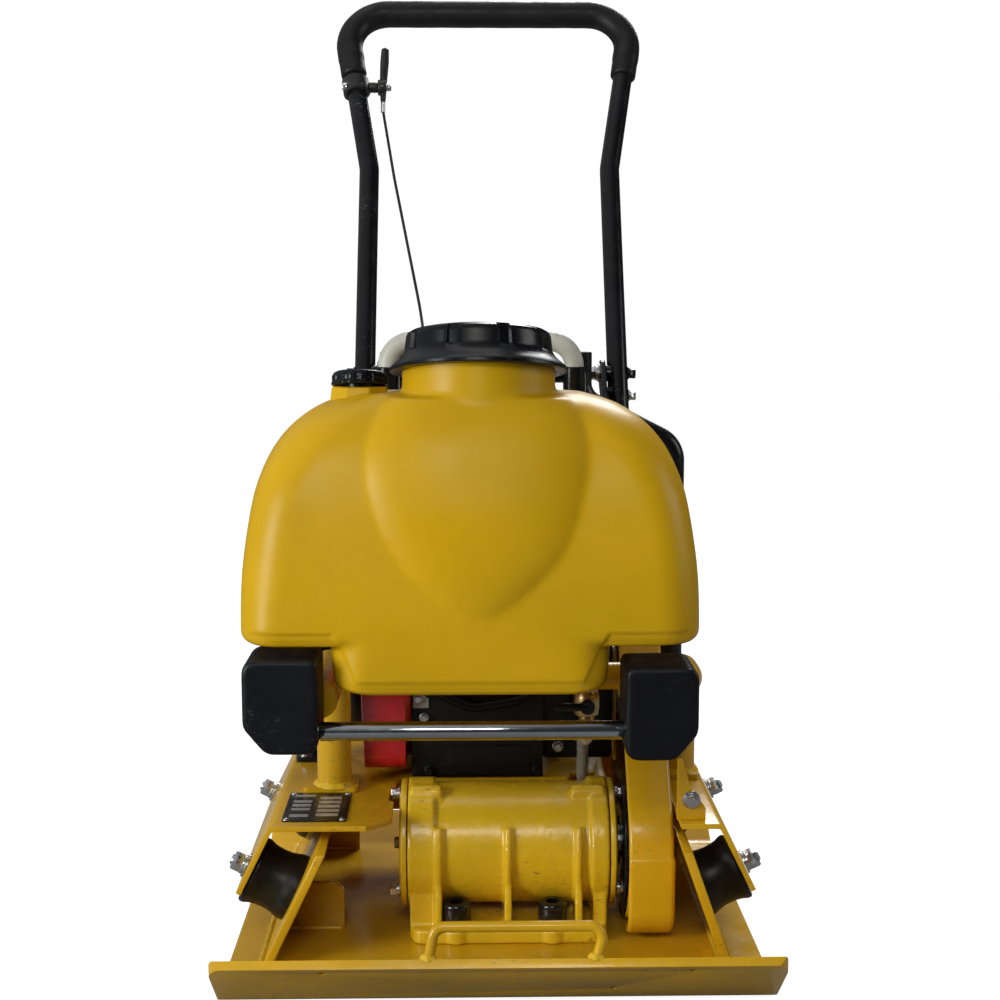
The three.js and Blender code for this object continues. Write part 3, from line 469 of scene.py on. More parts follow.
belt_rubber = finish_of("belt_rubber", (0.012, 0.012, 0.012), (0.6, 0.8), grain=(400, 15e-5), wear=(0.3, WORN))
zinc = finish_of("zinc_plate", (0.56, 0.57, 0.60), (0.2, 0.38), 1.0, patch=60, grain=(900, 3e-5),
    wear=(0.4, (0.32, 0.3, 0.26)))
chrome = finish_of("chrome_rod", (0.40, 0.42, 0.46), (0.10, 0.17), 1.0, tone=(0.93, 1.05), patch=30, grain=(1500, 4e-6),
    brushed=(0.05, 1, 1))
turned = finish_of("turned_steel", (0.42, 0.42, 0.44), (0.28, 0.42), 1.0, patch=25, grain=(1400, 4e-5),
    brushed=(3, 1, 1), wear=(0.5, (0.2, 0.17, 0.14)))
alloy = finish_of("cast_alloy", (0.34, 0.345, 0.355), (0.38, 0.55), 1.0, patch=18, grain=(420, 2e-4))
engine_black = finish_of("engine_black", (0.0028, 0.0028, 0.003), (0.34, 0.5), spec=0.3, tone=(0.82, 1.4), patch=20,
    grain=(420, 2e-4), dust=(0.2, SOIL), wear=(0.3, (0.06, 0.06, 0.06)))
black_bolt = finish_of("black_oxide", (0.006, 0.006, 0.007), (0.12, 0.24), patch=60, wear=(0.4, GREY))
red = finish_of("red_paint", (0.50, 0.004, 0.013), (0.2, 0.32), tone=(0.75, 1.15), patch=11, grain=(500, 3e-5),
    coat=(0.5, 0.1), wear=(0.2, (0.15, 0.01, 0.01)))
tank_black = finish_of("black_gloss_paint", (0.010, 0.010, 0.012), (0.16, 0.26), tone=(0.82, 1.4), grain=(500, 2e-5),
    coat=(0.4, 0.1), waves=(2e-4, 60), wear=(0.15, (0.06, 0.06, 0.06)))
tube_black = finish_of("tube_black", (0.0035, 0.0036, 0.005), (0.2, 0.34), spec=0.25, tone=(0.82, 1.5), patch=16,
    grain=(600, 4e-5), coat=(0.12, 0.12), wear=(0.3, (0.05, 0.052, 0.055)))
bail_grey = finish_of("bail_grey", (0.50, 0.50, 0.46), (0.35, 0.5), patch=20, grain=(500, 1e-4),
    wear=(0.4, (0.16, 0.15, 0.12)))
foam = finish_of("grip_foam", (0.0045, 0.0045, 0.006), (0.40, 0.56), spec=0.28, tone=(0.82, 1.5), patch=25,
    grain=(620, 2e-4), waves=(2e-4, 190))
control = finish_of("control_black", (0.012, 0.012, 0.013), (0.25, 0.4), tone=(0.82, 1.5), grain=(800, 5e-5))
sleeve = finish_of("cable_sleeve", (0.008, 0.008, 0.009), (0.3, 0.4), tone=(0.82, 1.5), grain=(900, 4e-5))
brass = finish_of("brass", (0.47, 0.33, 0.14), (0.25, 0.42), 1.0, patch=60, grain=(600, 1e-4),
    wear=(0.5, (0.25, 0.17, 0.08)))
muffler_grey = finish_of("muffler_paint", (0.17, 0.17, 0.17), (0.42, 0.55), 0.5, patch=16, grain=(500, 1e-4),
    wear=(0.6, (0.16, 0.09, 0.05)))
label_dark = finish_of("label_dark", (0.028, 0.024, 0.022), (0.24, 0.34), 0.6, patch=40, grain=(900, 3e-5),
    wear=(0.3, (0.2, 0.19, 0.18)))
label_pale = finish_of("label_pale", (0.38, 0.37, 0.35), (0.3, 0.42), 0.3, patch=120, grain=(900, 3e-5))


def clear_hose():
    material = bpy.data.materials.new("clear_hose")
    g = Graph(material)
    tint = g.mix(g.ramp(g.noise(30, 4), 0.35, 0.7), (0.52, 0.49, 0.42), (0.66, 0.63, 0.55))
    g.shade(Base_Color=tint, Roughness=g.ramp(g.noise(80, 3), 0.3, 0.7, 0.18, 0.32), Transmission_Weight=0.55, IOR=1.4,
        Normal=g.bump(g.noise(300, 2, (1, 1, 0.1)), 1e-4))
    return material


BASE_PAINT, BASE_CAST = ("base_yellow", paint), ("base_yellow", cast_paint)
DECK_PAINT, DECK_CAST = ("deck_yellow", paint), ("deck_yellow", cast_paint)
EXCITER_CAST, SCREW = ("exciter_yellow", cast_paint), ("black_bolt", black_bolt)
ZINC, TURNED, ALLOY = ("zinc_steel", zinc), ("turned_steel", turned), ("engine_alloy", alloy)
PLASTIC, TANK, FUEL = ("cap_plastic", cap_plastic), ("tank_plastic", tank_skin), ("fuel_tank_black", tank_black)
ENGINE, TUBE, MUFFLER = ("engine_black", engine_black), ("tube_black", tube_black), ("muffler_steel", muffler_grey)
CONTROL, SLEEVE, RED = ("control_black", control), ("cable_sleeve", sleeve), ("fan_red", red)

# ---------------- base plate, walls, lifting loop
ON_PLATE, ON_DECK = 8.3, 137.3  # where parts stand on the base plate and on the deck
LIP_NORMAL = Vector((0, 58, 66)).normalized() * 30
holes = []
for x, up in ((-152, 0.88), (167, 0.88), (101, 0.36)):
    middle = Vector((x, -200 - 66 * up, 58 * up))
    holes.append(rod(middle - LIP_NORMAL, middle + LIP_NORMAL, 3, 20, 0))
plate_line = bent([(-266, 58), (-200, 0, 34), (200, 0, 34), (250, 26)], 12)
piece("plate", [prism("x", strip(plate_line, 8), -250, 250)], "base", BASE_PAINT, "base_plate", edge=1.6,
    keep=[pad("z", -250, 250, -267, 251, 16, -5, 90, 8)], cuts=holes)


def wall_x(side, z):
    """How far a wall's outer face is from the middle at height z."""
    return 219 - (z - 8) * (0.48 if side < 0 else 0.35)


def bead(a, b, r, seed):
    """Weld bead: a lumpy tube along a straight line."""
    rng = np.random.default_rng(seed)
    a, b = Vector(a), Vector(b)
    count = max(int((b - a).length / 2.2), 4)
    spots = [a.lerp(b, k / count) for k in range(count + 1)]
    lumps = [r * (0.9 + 0.16 * abs(sin(k * 1.35)) + 0.08 * rng.random()) for k in range(count + 1)]
    return tube(spots, lambda share: lumps[min(int(share * count + 0.5), count)], 12, 0.8)


for side, label, rows in ((-1, "left", (-43, 188)), (1, "right", (188,))):
    foot_x, top_x, thick = wall_x(side, ON_PLATE), wall_x(side, 117), 8.7
    line = [(foot_x, ON_PLATE), (top_x, 117), (top_x - thick, 117), (foot_x - thick, ON_PLATE)]
    web = [(foot_x - 4, ON_PLATE), (wall_x(side, 55) - 4, 55), (148, 55, 14), (148, ON_PLATE)]
    shells = [prism("y", [(side * x, z) for x, z in line], -150, 195)]
    shells += [prism("y", rounded([(side * c[0], *c[1:]) for c in web], 8), y - 6, y) for y in rows]
    piece(f"wall_{label}", shells, "base", BASE_PAINT, f"side_wall_{label}", edge=1.2)
    beads = [bead((side * x, -149, 9), (side * x, 194, 9), r, seed)
        for x, r, seed in ((foot_x + 1, 3.0, 3), (foot_x - thick - 1, 2.6, 4))]
    beads += [bead((side * 150, y - 7, 9), (side * (foot_x - 10), y - 7, 9), 2.2, 5) for y in rows]
    piece(f"weld_{label}", beads, "base", BASE_CAST)

loop = bent([(-62, -257, 55.5), (-56, -252, 89.5, 11), (92, -252, 89.5, 11), (82, -257, 55.5)], 10)
piece("loop", [tube(loop, 4.8, 28, 0.5)], "base", BASE_PAINT, "front_lift_loop")
collar = [(0, 0), (0, 7.6), (2, 6.6), (4, 5.2), (4, 0)]
piece("loop_welds", [lathe(collar, (x, -255.6, 62.2), (0.1, 0.1, 1), 24, lumpy(5)) for x in (-61.2, 83.4)], "base",
    BASE_CAST)

# ---------------- exciter
EXCITER, CRANK = (EY, EZ), (CY, CZ) = (-25, 88), (110, 245)  # (y, z) of the two shafts
LEFT, RIGHT = -93, 118
housing = [axle(LEFT + 8, RIGHT - 8, EXCITER, 59, 96, 1)]
for x, wide in ((LEFT + 8, 26), (RIGHT - 26, 18)):
    housing += [axle(x, x + wide, EXCITER, 63.5, 96, 1), block(x + 2, x + wide - 2, EY - 54, EY + 50, ON_PLATE, 68)]
housing.append(pad("z", -81, 105, -93, 43, 12, ON_PLATE, 22, 8))
web = [(-89, ON_PLATE), (25, ON_PLATE), (25, 78), (EY - 57, 84), (EY - 64, 44)]
turns = range(150, 256, 7)
for outline, half in ((web, 3.5), (arc(EXCITER, 65, turns) + arc(EXCITER, 50, turns[::-1]), 3.2)):
    housing += [prism("x", outline, x - half, x + half) for x in (-55, 12, 80)]
for x0, x1 in ((LEFT + 10, LEFT + 42), (RIGHT - 44, RIGHT - 10)):
    housing += [axle(x0, x1, (EY - 22, EZ + 56), 8.5, 32, 4), block(x0, x1 - 2, EY - 30, EY - 10, EZ + 44, EZ + 56)]
housing += [rod((x, -79, ON_PLATE), (x, -79, 22), 17, 40, 1) for x in (-38, 55)]
case = piece("exciter_case", housing, "base", EXCITER_CAST, "exciter_housing", crease=0)
soften(case, 1.7, 5)
dress(case, cast_paint, 0)

for label, x, inward, hole in (("left", LEFT, 1, 0), ("right", RIGHT, -1, 19)):
    middle = [(0, hole)] if hole else [(0, 0), (0, 22), (1.5, 25), (1.5, 40), (0, 43)]
    profile = middle + [(0, 56), (1.2, 60.5), (2.2, 62), (7, 62), (7, 44), (17, 44), (17, hole), (0, hole)]
    piece(f"exciter_end_{label}", [lathe(profile, (x, *EXCITER), (inward, 0, 0), 96)], "base", EXCITER_CAST,
        f"exciter_cap_{label}", edge=0.6)
    heads = []
    for k in range(3):
        heads += bolt(around(x, EXCITER, 53, 100 - 120 * k), (-inward, 0, 0), 10, 7.2, start=k * 0.7)
    piece(f"exciter_end_{label}_bolts", heads, "base", ZINC)


def knurled(a, along, r):
    return r - (0.35 if int(a / (pi / 32) + 0.5) % 2 and 24 < along < 43 else 0)


for label, x in (("left", -38), ("right", 55)):
    head = lathe([(22.3, 0), (22.3, 13.2), (23, 14), (43.5, 14), (45.2, 13.4), (46, 12.2), (46, 0)], (x, -79, 0),
        (0, 0, 1), 64, knurled)
    socket = lathe([(36, 0), (36, 7.2), (50, 7.2), (50, 0)], (x, -79, 0), (0, 0, 1), 6, start=0.4)
    piece(f"foot_screw_{label}", [head], "base", SCREW, f"foot_bolt_{label}", cuts=[socket], crease=50)
    piece(f"foot_washer_{label}", [rod((x, -79, 21.2), (x, -79, 23.6), 16, 40, 0.4)], "base", SCREW)

# ---------------- isolators and deck
MOUNT = [(0, 0), (0, 30.5), (1.5, 32), (4.5, 32), (6.5, 31.4), (10, 30), (15, 29), (22, 28.6), (29, 29), (34, 30.2),
    (38, 31.6), (40, 32), (57, 32), (57, 0)]
for end, y in (("front", -91), ("rear", 144)):
    for side, label in ((-1, "left"), (1, "right")):
        outward = Vector((side * 0.897, 0, 0.4415))
        face = Vector((side * 236.9, y, 87.5))
        start = face - outward * 5.3
        beyond_wall = [(0, -20), (0, 160), *((side * (wall_x(side, z) + 0.3), z) for z in (160, -20))]
        gives = ("base", "deck", start - outward * 37, start - outward * 7)
        piece(f"mount_{end}_{label}", [lathe(MOUNT, start, -outward, 64)], gives, ("isolator_rubber", mount_rubber),
            f"isolator_{end}_{label}", cuts=[prism("y", beyond_wall, y - 50, y + 50)], crease=50)
        nut = bolt(face + outward * 0.3, outward, 16.5, 11.5, 2.5, 0.2)
        piece(f"mount_nut_{end}_{label}", nut, "deck", ZINC, f"isolator_nut_{end}_{label}")

deck_line = bent([(244, 73), (212.5, 137, 9), (-212.5, 137, 9), (-244, 73)], 10)
deck_shells = [prism("y", strip(deck_line, 5), -125, 190)]
for side in (-1, 1):
    gusset = [(side * x, z) for x, z in ((208, 134), (186, 134), (188, 120), (219, 108))]
    deck_shells += [prism("y", gusset, y, y + 5) for y in (-49, 97)]
bay = rounded([(-122, -140), (-122, -125, 3), (-99, -106, 6), (-99, -50, 2), (-104.5, -46, 2), (-104.5, -22, 2),
    (-99, -18, 2), (-99, 28, 8), (78, 28, 4), (78, 44, 6), (104, 44, 6), (104, 28, 4), (115.5, 28, 3), (115.5, 134, 6),
    (173, 134, 6), (173, -125, 3), (173, -140)])
piece("deck", deck_shells, "deck", DECK_PAINT, "engine_deck", edge=1.0, cuts=[prism("z", bay, 100, 160)])
channel = strip([Vector(p) for p in ((172, 131.5), (152, 131.5), (152, 64), (172, 64))], 4)
piece("deck_beam", [prism("x", channel, -148, 148)], "deck", DECK_PAINT, edge=1.0)

piece("data_plate", [pad("z", -202, -141, -112, -24, 3, ON_DECK, ON_DECK + 1.0)], "deck", ("label_metal", label_dark),
    "name_plate", edge=0.25)
cells = [(-196, -176, -38, -31), *((-196, -178, -56 - 12 * k, -49 - 12 * k) for k in range(3)),
    *((-171, -150, -46 - 13 * k, -38 - 13 * k) for k in range(5)), (-196, -178, -100, -92)]
piece("data_cells", [block(*cell, ON_DECK + 0.8, ON_DECK + 1.15) for cell in cells], "deck",
    ("label_metal", label_pale))
rivet = [(0, 0), (0, 3.1), (0.8, 2.8), (1.7, 1.6), (2.0, 0)]
piece("data_rivets", [lathe(rivet, (x, y, ON_DECK + 0.8), (0, 0, 1), 20) for x in (-198, -145) for y in (-108, -28)],
    "deck", ZINC)

# ---------------- belt drive and guard
BELT_X = 144.5


def belt_outline(r, sides=40):
    return round_two((*EXCITER, r), (*CRANK, r + 4), sides)


def guard_foot(inset):
    """Outline of the guard's lower half: straight in front and below, with the front corner tighter."""
    front, rear, floor_z = EY - 77.4 + inset, EY + 77.4 - inset, 12.6 + inset
    return rounded([(front, 96.5), (front, floor_z, 30), (rear, floor_z, 62), (rear, 96.5)], 14)


piece("guard_cup", [prism("x", belt_outline(76), 126.6, 170)], "deck", DECK_PAINT, "belt_guard", edge=4.5, segments=6,
    hollow=[prism("x", belt_outline(73.5), 110, 167.5)], crease=40)
inside = [(y, z + (6 if z > 96 else 0)) for y, z in guard_foot(2.0)]
piece("guard_band", [prism("x", guard_foot(0), 125.6, 171.3)], "deck", DECK_PAINT, edge=5.5, segments=5,
    hollow=[prism("x", inside, 110, 169.2)], crease=40)
# Black plate inside the guard's open side, round the pulley: a dark sheet that paints the shade in the gap between the
# exciter and the guard.
piece("guard_shade_plate", [prism("x", arc(EXCITER, 72, range(0, 360, 5)), 123.8, 125.6)], "deck", PLASTIC, edge=0.4,
    cuts=[axle(120, 131, EXCITER, 24, 48, 0)])
piece("guard_inner", [prism("x", belt_outline(72.5), 123.6, 126.2)], "deck", DECK_PAINT, "guard_back_plate",
    keep=[block(110, 170, 45, 240, 150, 340)], cuts=[axle(110, 135, CRANK, 24, 64, 0)])
tab = rounded([(170, ON_DECK), (197, ON_DECK), (197, 149, 9), (182, 170, 8), (175, 196, 3), (170, 196)], 8)
piece("guard_lug", [prism("y", tab, -114, -109)], "deck", DECK_PAINT, "guard_bracket", edge=0.8)
piece("guard_lug_bolt", bolt((183, -114, 157), (0, -1, 0), 10, 8.6), "deck", ZINC)

for name, at, rim, groove, body, node in (("driven_pulley", EXCITER, 43, 31.4, "eccentric", "exciter_pulley"),
        ("clutch_wheel", CRANK, 61, 49.2, "drum", "clutch_drum")):
    profile = [(-12, 11.3), (-12, rim - 1), (-11, rim), (-8.7, rim), (-7, groove), (7, groove), (8.7, rim), (11, rim),
        (12, rim - 1), (12, 11.3), (-12, 11.3)]
    piece(name, [lathe(profile, (BELT_X, *at), (1, 0, 0), 72)], body, TURNED, node, crease=40)
shoes = [prism("x", arc(CRANK, 40, range(12 + a, 100 + a, 8)) + arc(CRANK, 22, range(96 + a, 8 + a, -8)), 156.6, 158.4)
    for a in (0, 120, 240)]
piece("clutch_shoes", shoes, "drum", ("turned_steel", alloy), edge=0.6)

outer, inner = (round_two((*EXCITER, r), (*CRANK, r + 18), 64) for r in (39.6, 32.2))
still, taken = ((BELT_X, EY + (CY - EY) * share, EZ + (CZ - EZ) * share) for share in (0.3, 0.65))
piece("vee_belt", [prism("x", outer, 138.4, 150.6)], ("base", "deck", still, taken), ("belt_rubber", belt_rubber),
    "drive_belt", edge=1.0, cuts=[prism("x", inner, 130, 160)])

# ---------------- tank frame, bumpers, rod
left_arm = bent([(-160, -167.7, 268), (-160, -4, 268, 34), (-160, -4, ON_DECK)], 10)
right_arm = bent([(128, -167.7, 268), (128, -118, 268, 40), (190, -16, 250, 40), (190, 40, 250, 24),
    (190, 40, ON_DECK)], 10)
arms = [tube(left_arm, 17, 40), tube(right_arm, 17, 40), rod((-160, -78, 268), (144, -78, 268), 13, 32),
    pad("z", -190, -136, -22, 24, 5, ON_DECK, ON_DECK + 5), pad("z", 176, 210, 16, 64, 5, ON_DECK, ON_DECK + 5)]
piece("tank_arms", arms, "deck", DECK_PAINT, "tank_frame")
collar = [(0, 0), (0, 21.5), (2, 20.5), (4.5, 17.4), (4.5, 0)]
piece("arm_welds", [lathe(collar, (x, y, 141.6), (0, 0, 1), 40, lumpy(9)) for x, y in ((-160, -4), (190, 40))], "deck",
    DECK_CAST)

for name, out, outer_x, inner_x, low_z, top_z in (("bumper_left", -1, -220, -155, 236, 319),
        ("bumper_right", 1, 172.5, 109, 229, 311)):
    face = [(outer_x, low_z + 24, 13), (outer_x - out * 20, low_z, 13), (inner_x, low_z, 11), (inner_x, top_z, 6),
        (outer_x, top_z, 11)]
    bumper = piece(name + "_block", [prism("y", rounded(face, 5), -235, -168)], "deck",
        ("bumper_rubber", bumper_rubber), name)
    soften(bumper, 1.6, 26)
    dress(bumper, bumper_rubber, 0)
piece("cross_rod", [rod((-154.7, -214, 252), (108.7, -214, 252), 8.3, 64, 0.3)], "deck", ("chrome_steel", chrome),
    "front_rod")

# ---------------- water tank
NECK_LEAN = 0.174
UP = Vector((0, sin(NECK_LEAN), cos(NECK_LEAN)))
NECK_AT, VENT_AT = Vector((-16, -112, 532)), Vector((-124.5, -108, 520))


def smooth_rows(rows, steps=5):
    """Catmull-Rom rows between the given ones."""
    rows = [np.array(r, float) for r in rows]
    out = []
    for i in range(len(rows) - 1):
        a, b, c, d = rows[max(i - 1, 0)], rows[i], rows[i + 1], rows[min(i + 2, len(rows) - 1)]
        for t in (k / steps for k in range(steps)):
            out.append(0.5 * (2 * b + (c - a) * t + (2 * a - 5 * b + 4 * c - d) * t ** 2
                + (3 * b - a - 3 * c + d) * t ** 3))
    return out + [rows[-1]]


def oblong(z, half, depth, corner, steps=10):
    """Section of the leaning tank at height z."""
    centre_y = -150 + (z - 284) * 0.176
    out = []
    for su, sv, quarter in ((1, 1, 0), (-1, 1, 1), (-1, -1, 2), (1, -1, 3)):
        for a in (pi / 2 * (quarter + k / steps) for k in range(steps + 1)):
            out.append((-24 + su * (half - corner) + corner * cos(a),
                centre_y + sv * (depth - corner) + corner * sin(a), z))
    return out


def squarish(c, power=0.72):
    return abs(c) ** power * (1 if c > 0 else -1)


def swell(z, x, front, half, count=72):
    """Squarish oval section of the fullness under the neck."""
    depth = min(half, 46)
    out = []
    for k in range(count):
        c, s = (part(2 * pi * k / count) for part in (cos, sin))
        out.append((x + half * squarish(c), front + depth + depth * squarish(s), z))
    return out


BODY_WIDER = 1.02
body_rows = smooth_rows([(326.6, 190, 74, 28), (331, 195, 79, 32), (338, 197.5, 82, 36), (386, 197, 83, 40),
    (435, 191, 82, 42), (466, 184, 79, 44), (495, 171, 73, 48), (516, 153, 64, 48), (531, 129, 52, 44),
    (540, 100, 38, 34)])
belly_rows = smooth_rows([(284.2, 108, 68, 26), (288, 115, 74, 28), (294, 119.5, 79, 30), (320, 122, 81, 32),
    (360, 124, 82, 34)])
swell_rows = smooth_rows([(344, -18, -217, 14), (351, -18, -221, 30), (361, -18, -222.6, 49), (374, -18, -223.2, 66),
    (388, -18, -222.8, 81), (404, -17, -221.6, 93), (425, -18, -219.2, 103), (448, -19, -215.4, 109),
    (472, -19, -209.6, 112), (494, -18, -202.6, 110), (512, -17, -194.8, 103), (526, -16, -186.5, 94),
    (534, -16, -181.5, 87), (539, -16, -179, 80)], 4)
shells = [loft([oblong(z, half * BODY_WIDER, depth, corner) for z, half, depth, corner in body_rows]),
    loft([oblong(*row) for row in belly_rows]), loft([swell(*row) for row in swell_rows]),
    rod(NECK_AT - UP * 20, NECK_AT + UP * 35, 69.6, 96, 1)]
tank = piece("tank_shell", shells, "deck", TANK, "water_tank", crease=0)
soften(tank, 1.9, 25)


def press_border(obj):
    """Step that runs along the front's lower edge: the face inside it stands a little proud."""
    line = [Vector(p) for p in ((-236, 339), (-143, 339), (-122, 297), (74, 297), (95, 339), (190, 339))]
    proud, ramp, fades_at, fades_over = 2.2, 3.2, 430, 40
    count = len(obj.data.vertices)
    co, normal = np.empty(count * 3), np.empty(count * 3)
    obj.data.vertices.foreach_get("co", co)
    obj.data.vertices.foreach_get("normal", normal)
    co = co.reshape(-1, 3) * 1000
    p = co[:, [0, 2]]
    best = np.full(count, 1e9)
    for a, b in zip(line, line[1:]):
        d = np.array(b - a)
        t = np.clip(((p - np.array(a)) @ d) / (d @ d), 0, 1)
        best = np.minimum(best, np.linalg.norm(p - (np.array(a) + t[:, None] * d), axis=1))
    above = np.interp(p[:, 0], [q.x for q in line], [q.y for q in line])
    step = np.clip((np.where(p[:, 1] > above, best, -best) + ramp / 2) / ramp, 0, 1)
    step = step * step * (3 - 2 * step)
    facing = np.clip((-normal.reshape(-1, 3)[:, 1] - 0.55) / 0.3, 0, 1)
    co[:, 1] += proud * (1 - step) * facing * np.clip((fades_at - co[:, 2]) / fades_over, 0, 1)
    obj.data.vertices.foreach_set("co", (co / 1000).ravel())
    obj.data.update()


press_border(tank)
dress(tank, tank_skin, 0)

boss_rows = []
for size, rise, back_by in ((33, -14, -1), (27.5, 6, 1), (25, 25.3, 4.3)):
    turns = [radians(22.5 + 45 * k) for k in range(8)]
    boss_rows.append([VENT_AT + Vector((size * 1.06 * cos(t), back_by + size * sin(t), rise)) for t in turns])
piece("tank_boss", [loft(boss_rows)], "deck", TANK, edge=1.6, segments=4, crease=30)


def grips(count, depth, low_at, high_at, width):
    """Recesses round a screw cap, between two heights."""
    def radius_at(a, along, r):
        wave = cos(count * a) if low_at < along < high_at else 0.0
        return r - depth * max(0.0, min(1.0, (wave - width) / (1 - width) * 2.5))
    return radius_at


cap_profile = [(64, 0), (64.8, 20), (64.6, 46), (63.8, 56), (62.6, 61.5), (60.6, 64.8), (58, 66)]
cap_profile += [(h, 66 + (58 - h) * 0.12) for h in np.linspace(56, 45, 7)]
cap_profile += [(42.5, 68.3), (39.5, 70.2), (36.5, 73), (33.5, 76.6), (31, 79.6), (29.4, 80.8), (27, 81), (26.2, 80.4),
    (26, 79), (26, 70.4), (36, 70.4), (36, 58), (58, 58), (58, 0)]
piece("tank_lid", [lathe(cap_profile, NECK_AT, UP, 240, grips(9, 3.2, 44.9, 61.9, 0.62))], "lid", PLASTIC, "tank_cap",
    crease=30)
vent_profile = [(39, 0), (39.2, 14), (38.6, 21), (37.4, 23.4), (35.5, 24.6)]
vent_profile += [(h, 25.2) for h in np.linspace(34, 29, 4)]
vent_profile += [(27.6, 26), (26.3, 25.6), (26, 24.6), (26, 15), (16, 14.5), (16, 0)]
piece("vent_lid", [lathe(vent_profile, VENT_AT, UP, 120, grips(14, 0.9, 27, 37, 0.2))], "vent", PLASTIC, "breather_cap",
    crease=30)

# ---------------- tap, hose, spray bar
TAP = (84, -112)
barbs = [(1 + 2.2 * k + h, r) for k in range(3) for h, r in ((0, 6.9), (1.6, 7.8), (1.7, 6.6))]
tap_profile = [(0, 0), (0, 8), (2, 11), (9, 12), (18, 12), (24, 11), (26, 9), (26, 0)]
tap = [rod((*TAP, 268), (*TAP, 283.6), 8.6, 32), hexagon((*TAP, 262), (0, 0, 1), 20, 8),
    lathe(tap_profile, (*TAP, 238), (0, 0, 1), 40),
    lathe([(0, 0), (0, 6.6), *barbs, (9, 6), (9, 0)], (*TAP, 238), (0, 0, -1), 32)]
piece("tap_body", tap, "deck", ("brass", brass), "water_tap")
handle = [lathe([(0, 0), (0, 6), (1.5, 7), (5, 7), (6.6, 6), (6.6, 0)], (84, -124.4, 250), (0, -1, 0), 32),
    tube([(84, -128.5, 250), (76, -129, 250.4), (64, -129.6, 251), (56, -129, 250.4)], lambda s: 3.0
    + 0.9 * sin(pi * s), 20, 1.0)]
piece("tap_handle", handle, "tap", PLASTIC, "tap_lever")
route = bent([(*TAP, 235.7), (*TAP, 214, 18), (91, 24, 196, 22), (91, 31, 150, 30), (91, 42, 120.5)], 12)
piece("hose_tube", [tube(route, 6, 28, 0.4)], "deck", ("hose_clear", clear_hose()), "water_hose")
clips = [ring(7.4, 6.1, (*TAP, 229), (*TAP, 234), 32), rod((91.5, -112, 231.5), (96, -112, 231.5), 2.4, 16)]
piece("hose_clip", clips, "deck", ZINC)
bar_holes = [rod((x, 40, 100), (x, 64, 112), 1.3, 12, 0) for x in range(-80, 86, 22)]
piece("spray_tube", [axle(-92, 106, (52, 112), 7.5, 40)], "deck", DECK_PAINT, "spray_bar", cuts=bar_holes)

# ---------------- engine
X_AXIS, Y_AXIS = Vector((1, 0, 0)), Vector((0, 1, 0))
side_view = rounded([(22, 138.5, 4), (176, 138.5, 3), (176, 176, 20), (152, 318, 26), (72, 318, 26), (47, 286, 18),
    (47, 241, 6), (22, 236, 6)], 8)
piece("engine_block", [prism("x", side_view, -83.5, 50)], "deck", ENGINE, "crankcase", edge=2.2, segments=4,
    cuts=[axle(-90, 60, CRANK, 15, 40, 0)])
cover = [(50, 15), (50, 58), (55, 58), (57, 57), (74, 45.5), (76, 43.5), (76, 15), (50, 15)]
piece("crank_cover", [lathe(cover, (0, *CRANK), X_AXIS, 80)], "deck", ALLOY, crease=40)
piece("crank_cover_bolts", bolts([around(56, CRANK, 52, 30 + 60 * k) for k in range(6)], X_AXIS, 7, 5), "deck", ZINC)
corners = [(x, y, z) for x in (-66, 44) for y, z in ((22, 147), (22, 227), (47, 276))]
piece("block_fixings", [pad("y", -60, 36, 150, 172, 4, 20.4, 22.6)] + bolts(corners, -Y_AXIS, 7, 5), "deck",
    ("zinc_steel", engine_black))
stay = prism("y", rounded([(49, 154, 6), (122, 154, 6), (122, 296, 16), (49, 296, 6)]), 40, 44)
stay_holes = [rod((86, 30, z), (86, 50, z), 9, 32, 0) for z in (180, 212)]
piece("guard_stay", [stay], "deck", ENGINE, edge=1.0, cuts=stay_holes)
piece("guard_stay_bolts", bolts([(66, 40, 166), (112, 40, 240)], -Y_AXIS, 8, 6), "deck", ZINC)
hose_run = bent([(-72, 43, 250), (-64, 12, 232, 16), (-22, 10, 214, 30), (30, 11, 222, 18), (44, 42, 250)], 10)
piece("vent_hose", [tube(hose_run, 4.6, 24, 0.5)], "deck", ("belt_rubber", mount_rubber))
piece("engine_tag", [block(-82, -66, 20.2, 21.8, 212, 231)], "deck", ("label_metal", label_pale), edge=0.3)
piece("engine_tag_bolts", bolt((-77, 20, 222), -Y_AXIS, 6, 4.5) + bolt((-71, 21.8, 202), -Y_AXIS, 7, 5), "deck", ZINC)


def vane(x, thick, angle, inner, outer):
    """Blade that stands off the crankshaft; inner and outer are (radius, from, to) across it."""
    u, v = Vector((0, cos(angle), sin(angle))), Vector((0, -sin(angle), cos(angle)))
    row = [Vector((x, *CRANK)) + u * r + v * s for r, s in (inner[:2], outer[:2], outer[::2], inner[::2])]
    return loft([row, [p + X_AXIS * thick for p in row]])


fan = [vane(-128, 3, 2 * pi * k / 18, (34, -1.2, 1.2), (86, 8, 10.5)) for k in range(18)]
piece("crank_and_fan", [axle(-126, -92, CRANK, 92, 96, 2), axle(-128, 160, CRANK, 11, 48)] + fan, "crank", TURNED,
    "crankshaft")


def on_cylinder(along):
    return Vector((-12, CY + along * 0.906, CZ + along * 0.423))


def slab(a, b, half, corner=5):
    """Square plate across the cylinder, between two places along it."""
    axis = (on_cylinder(b) - on_cylinder(a)).normalized()
    up = axis.cross(X_AXIS)
    low = half - 4
    outline = rounded([(u, v, corner) for u, v in ((-half, -low), (half, -low), (half, low), (-half, low))], 4)
    return loft([[tuple(on_cylinder(t) + X_AXIS * p.x + up * p.y) for p in outline] for t in (a, b)])


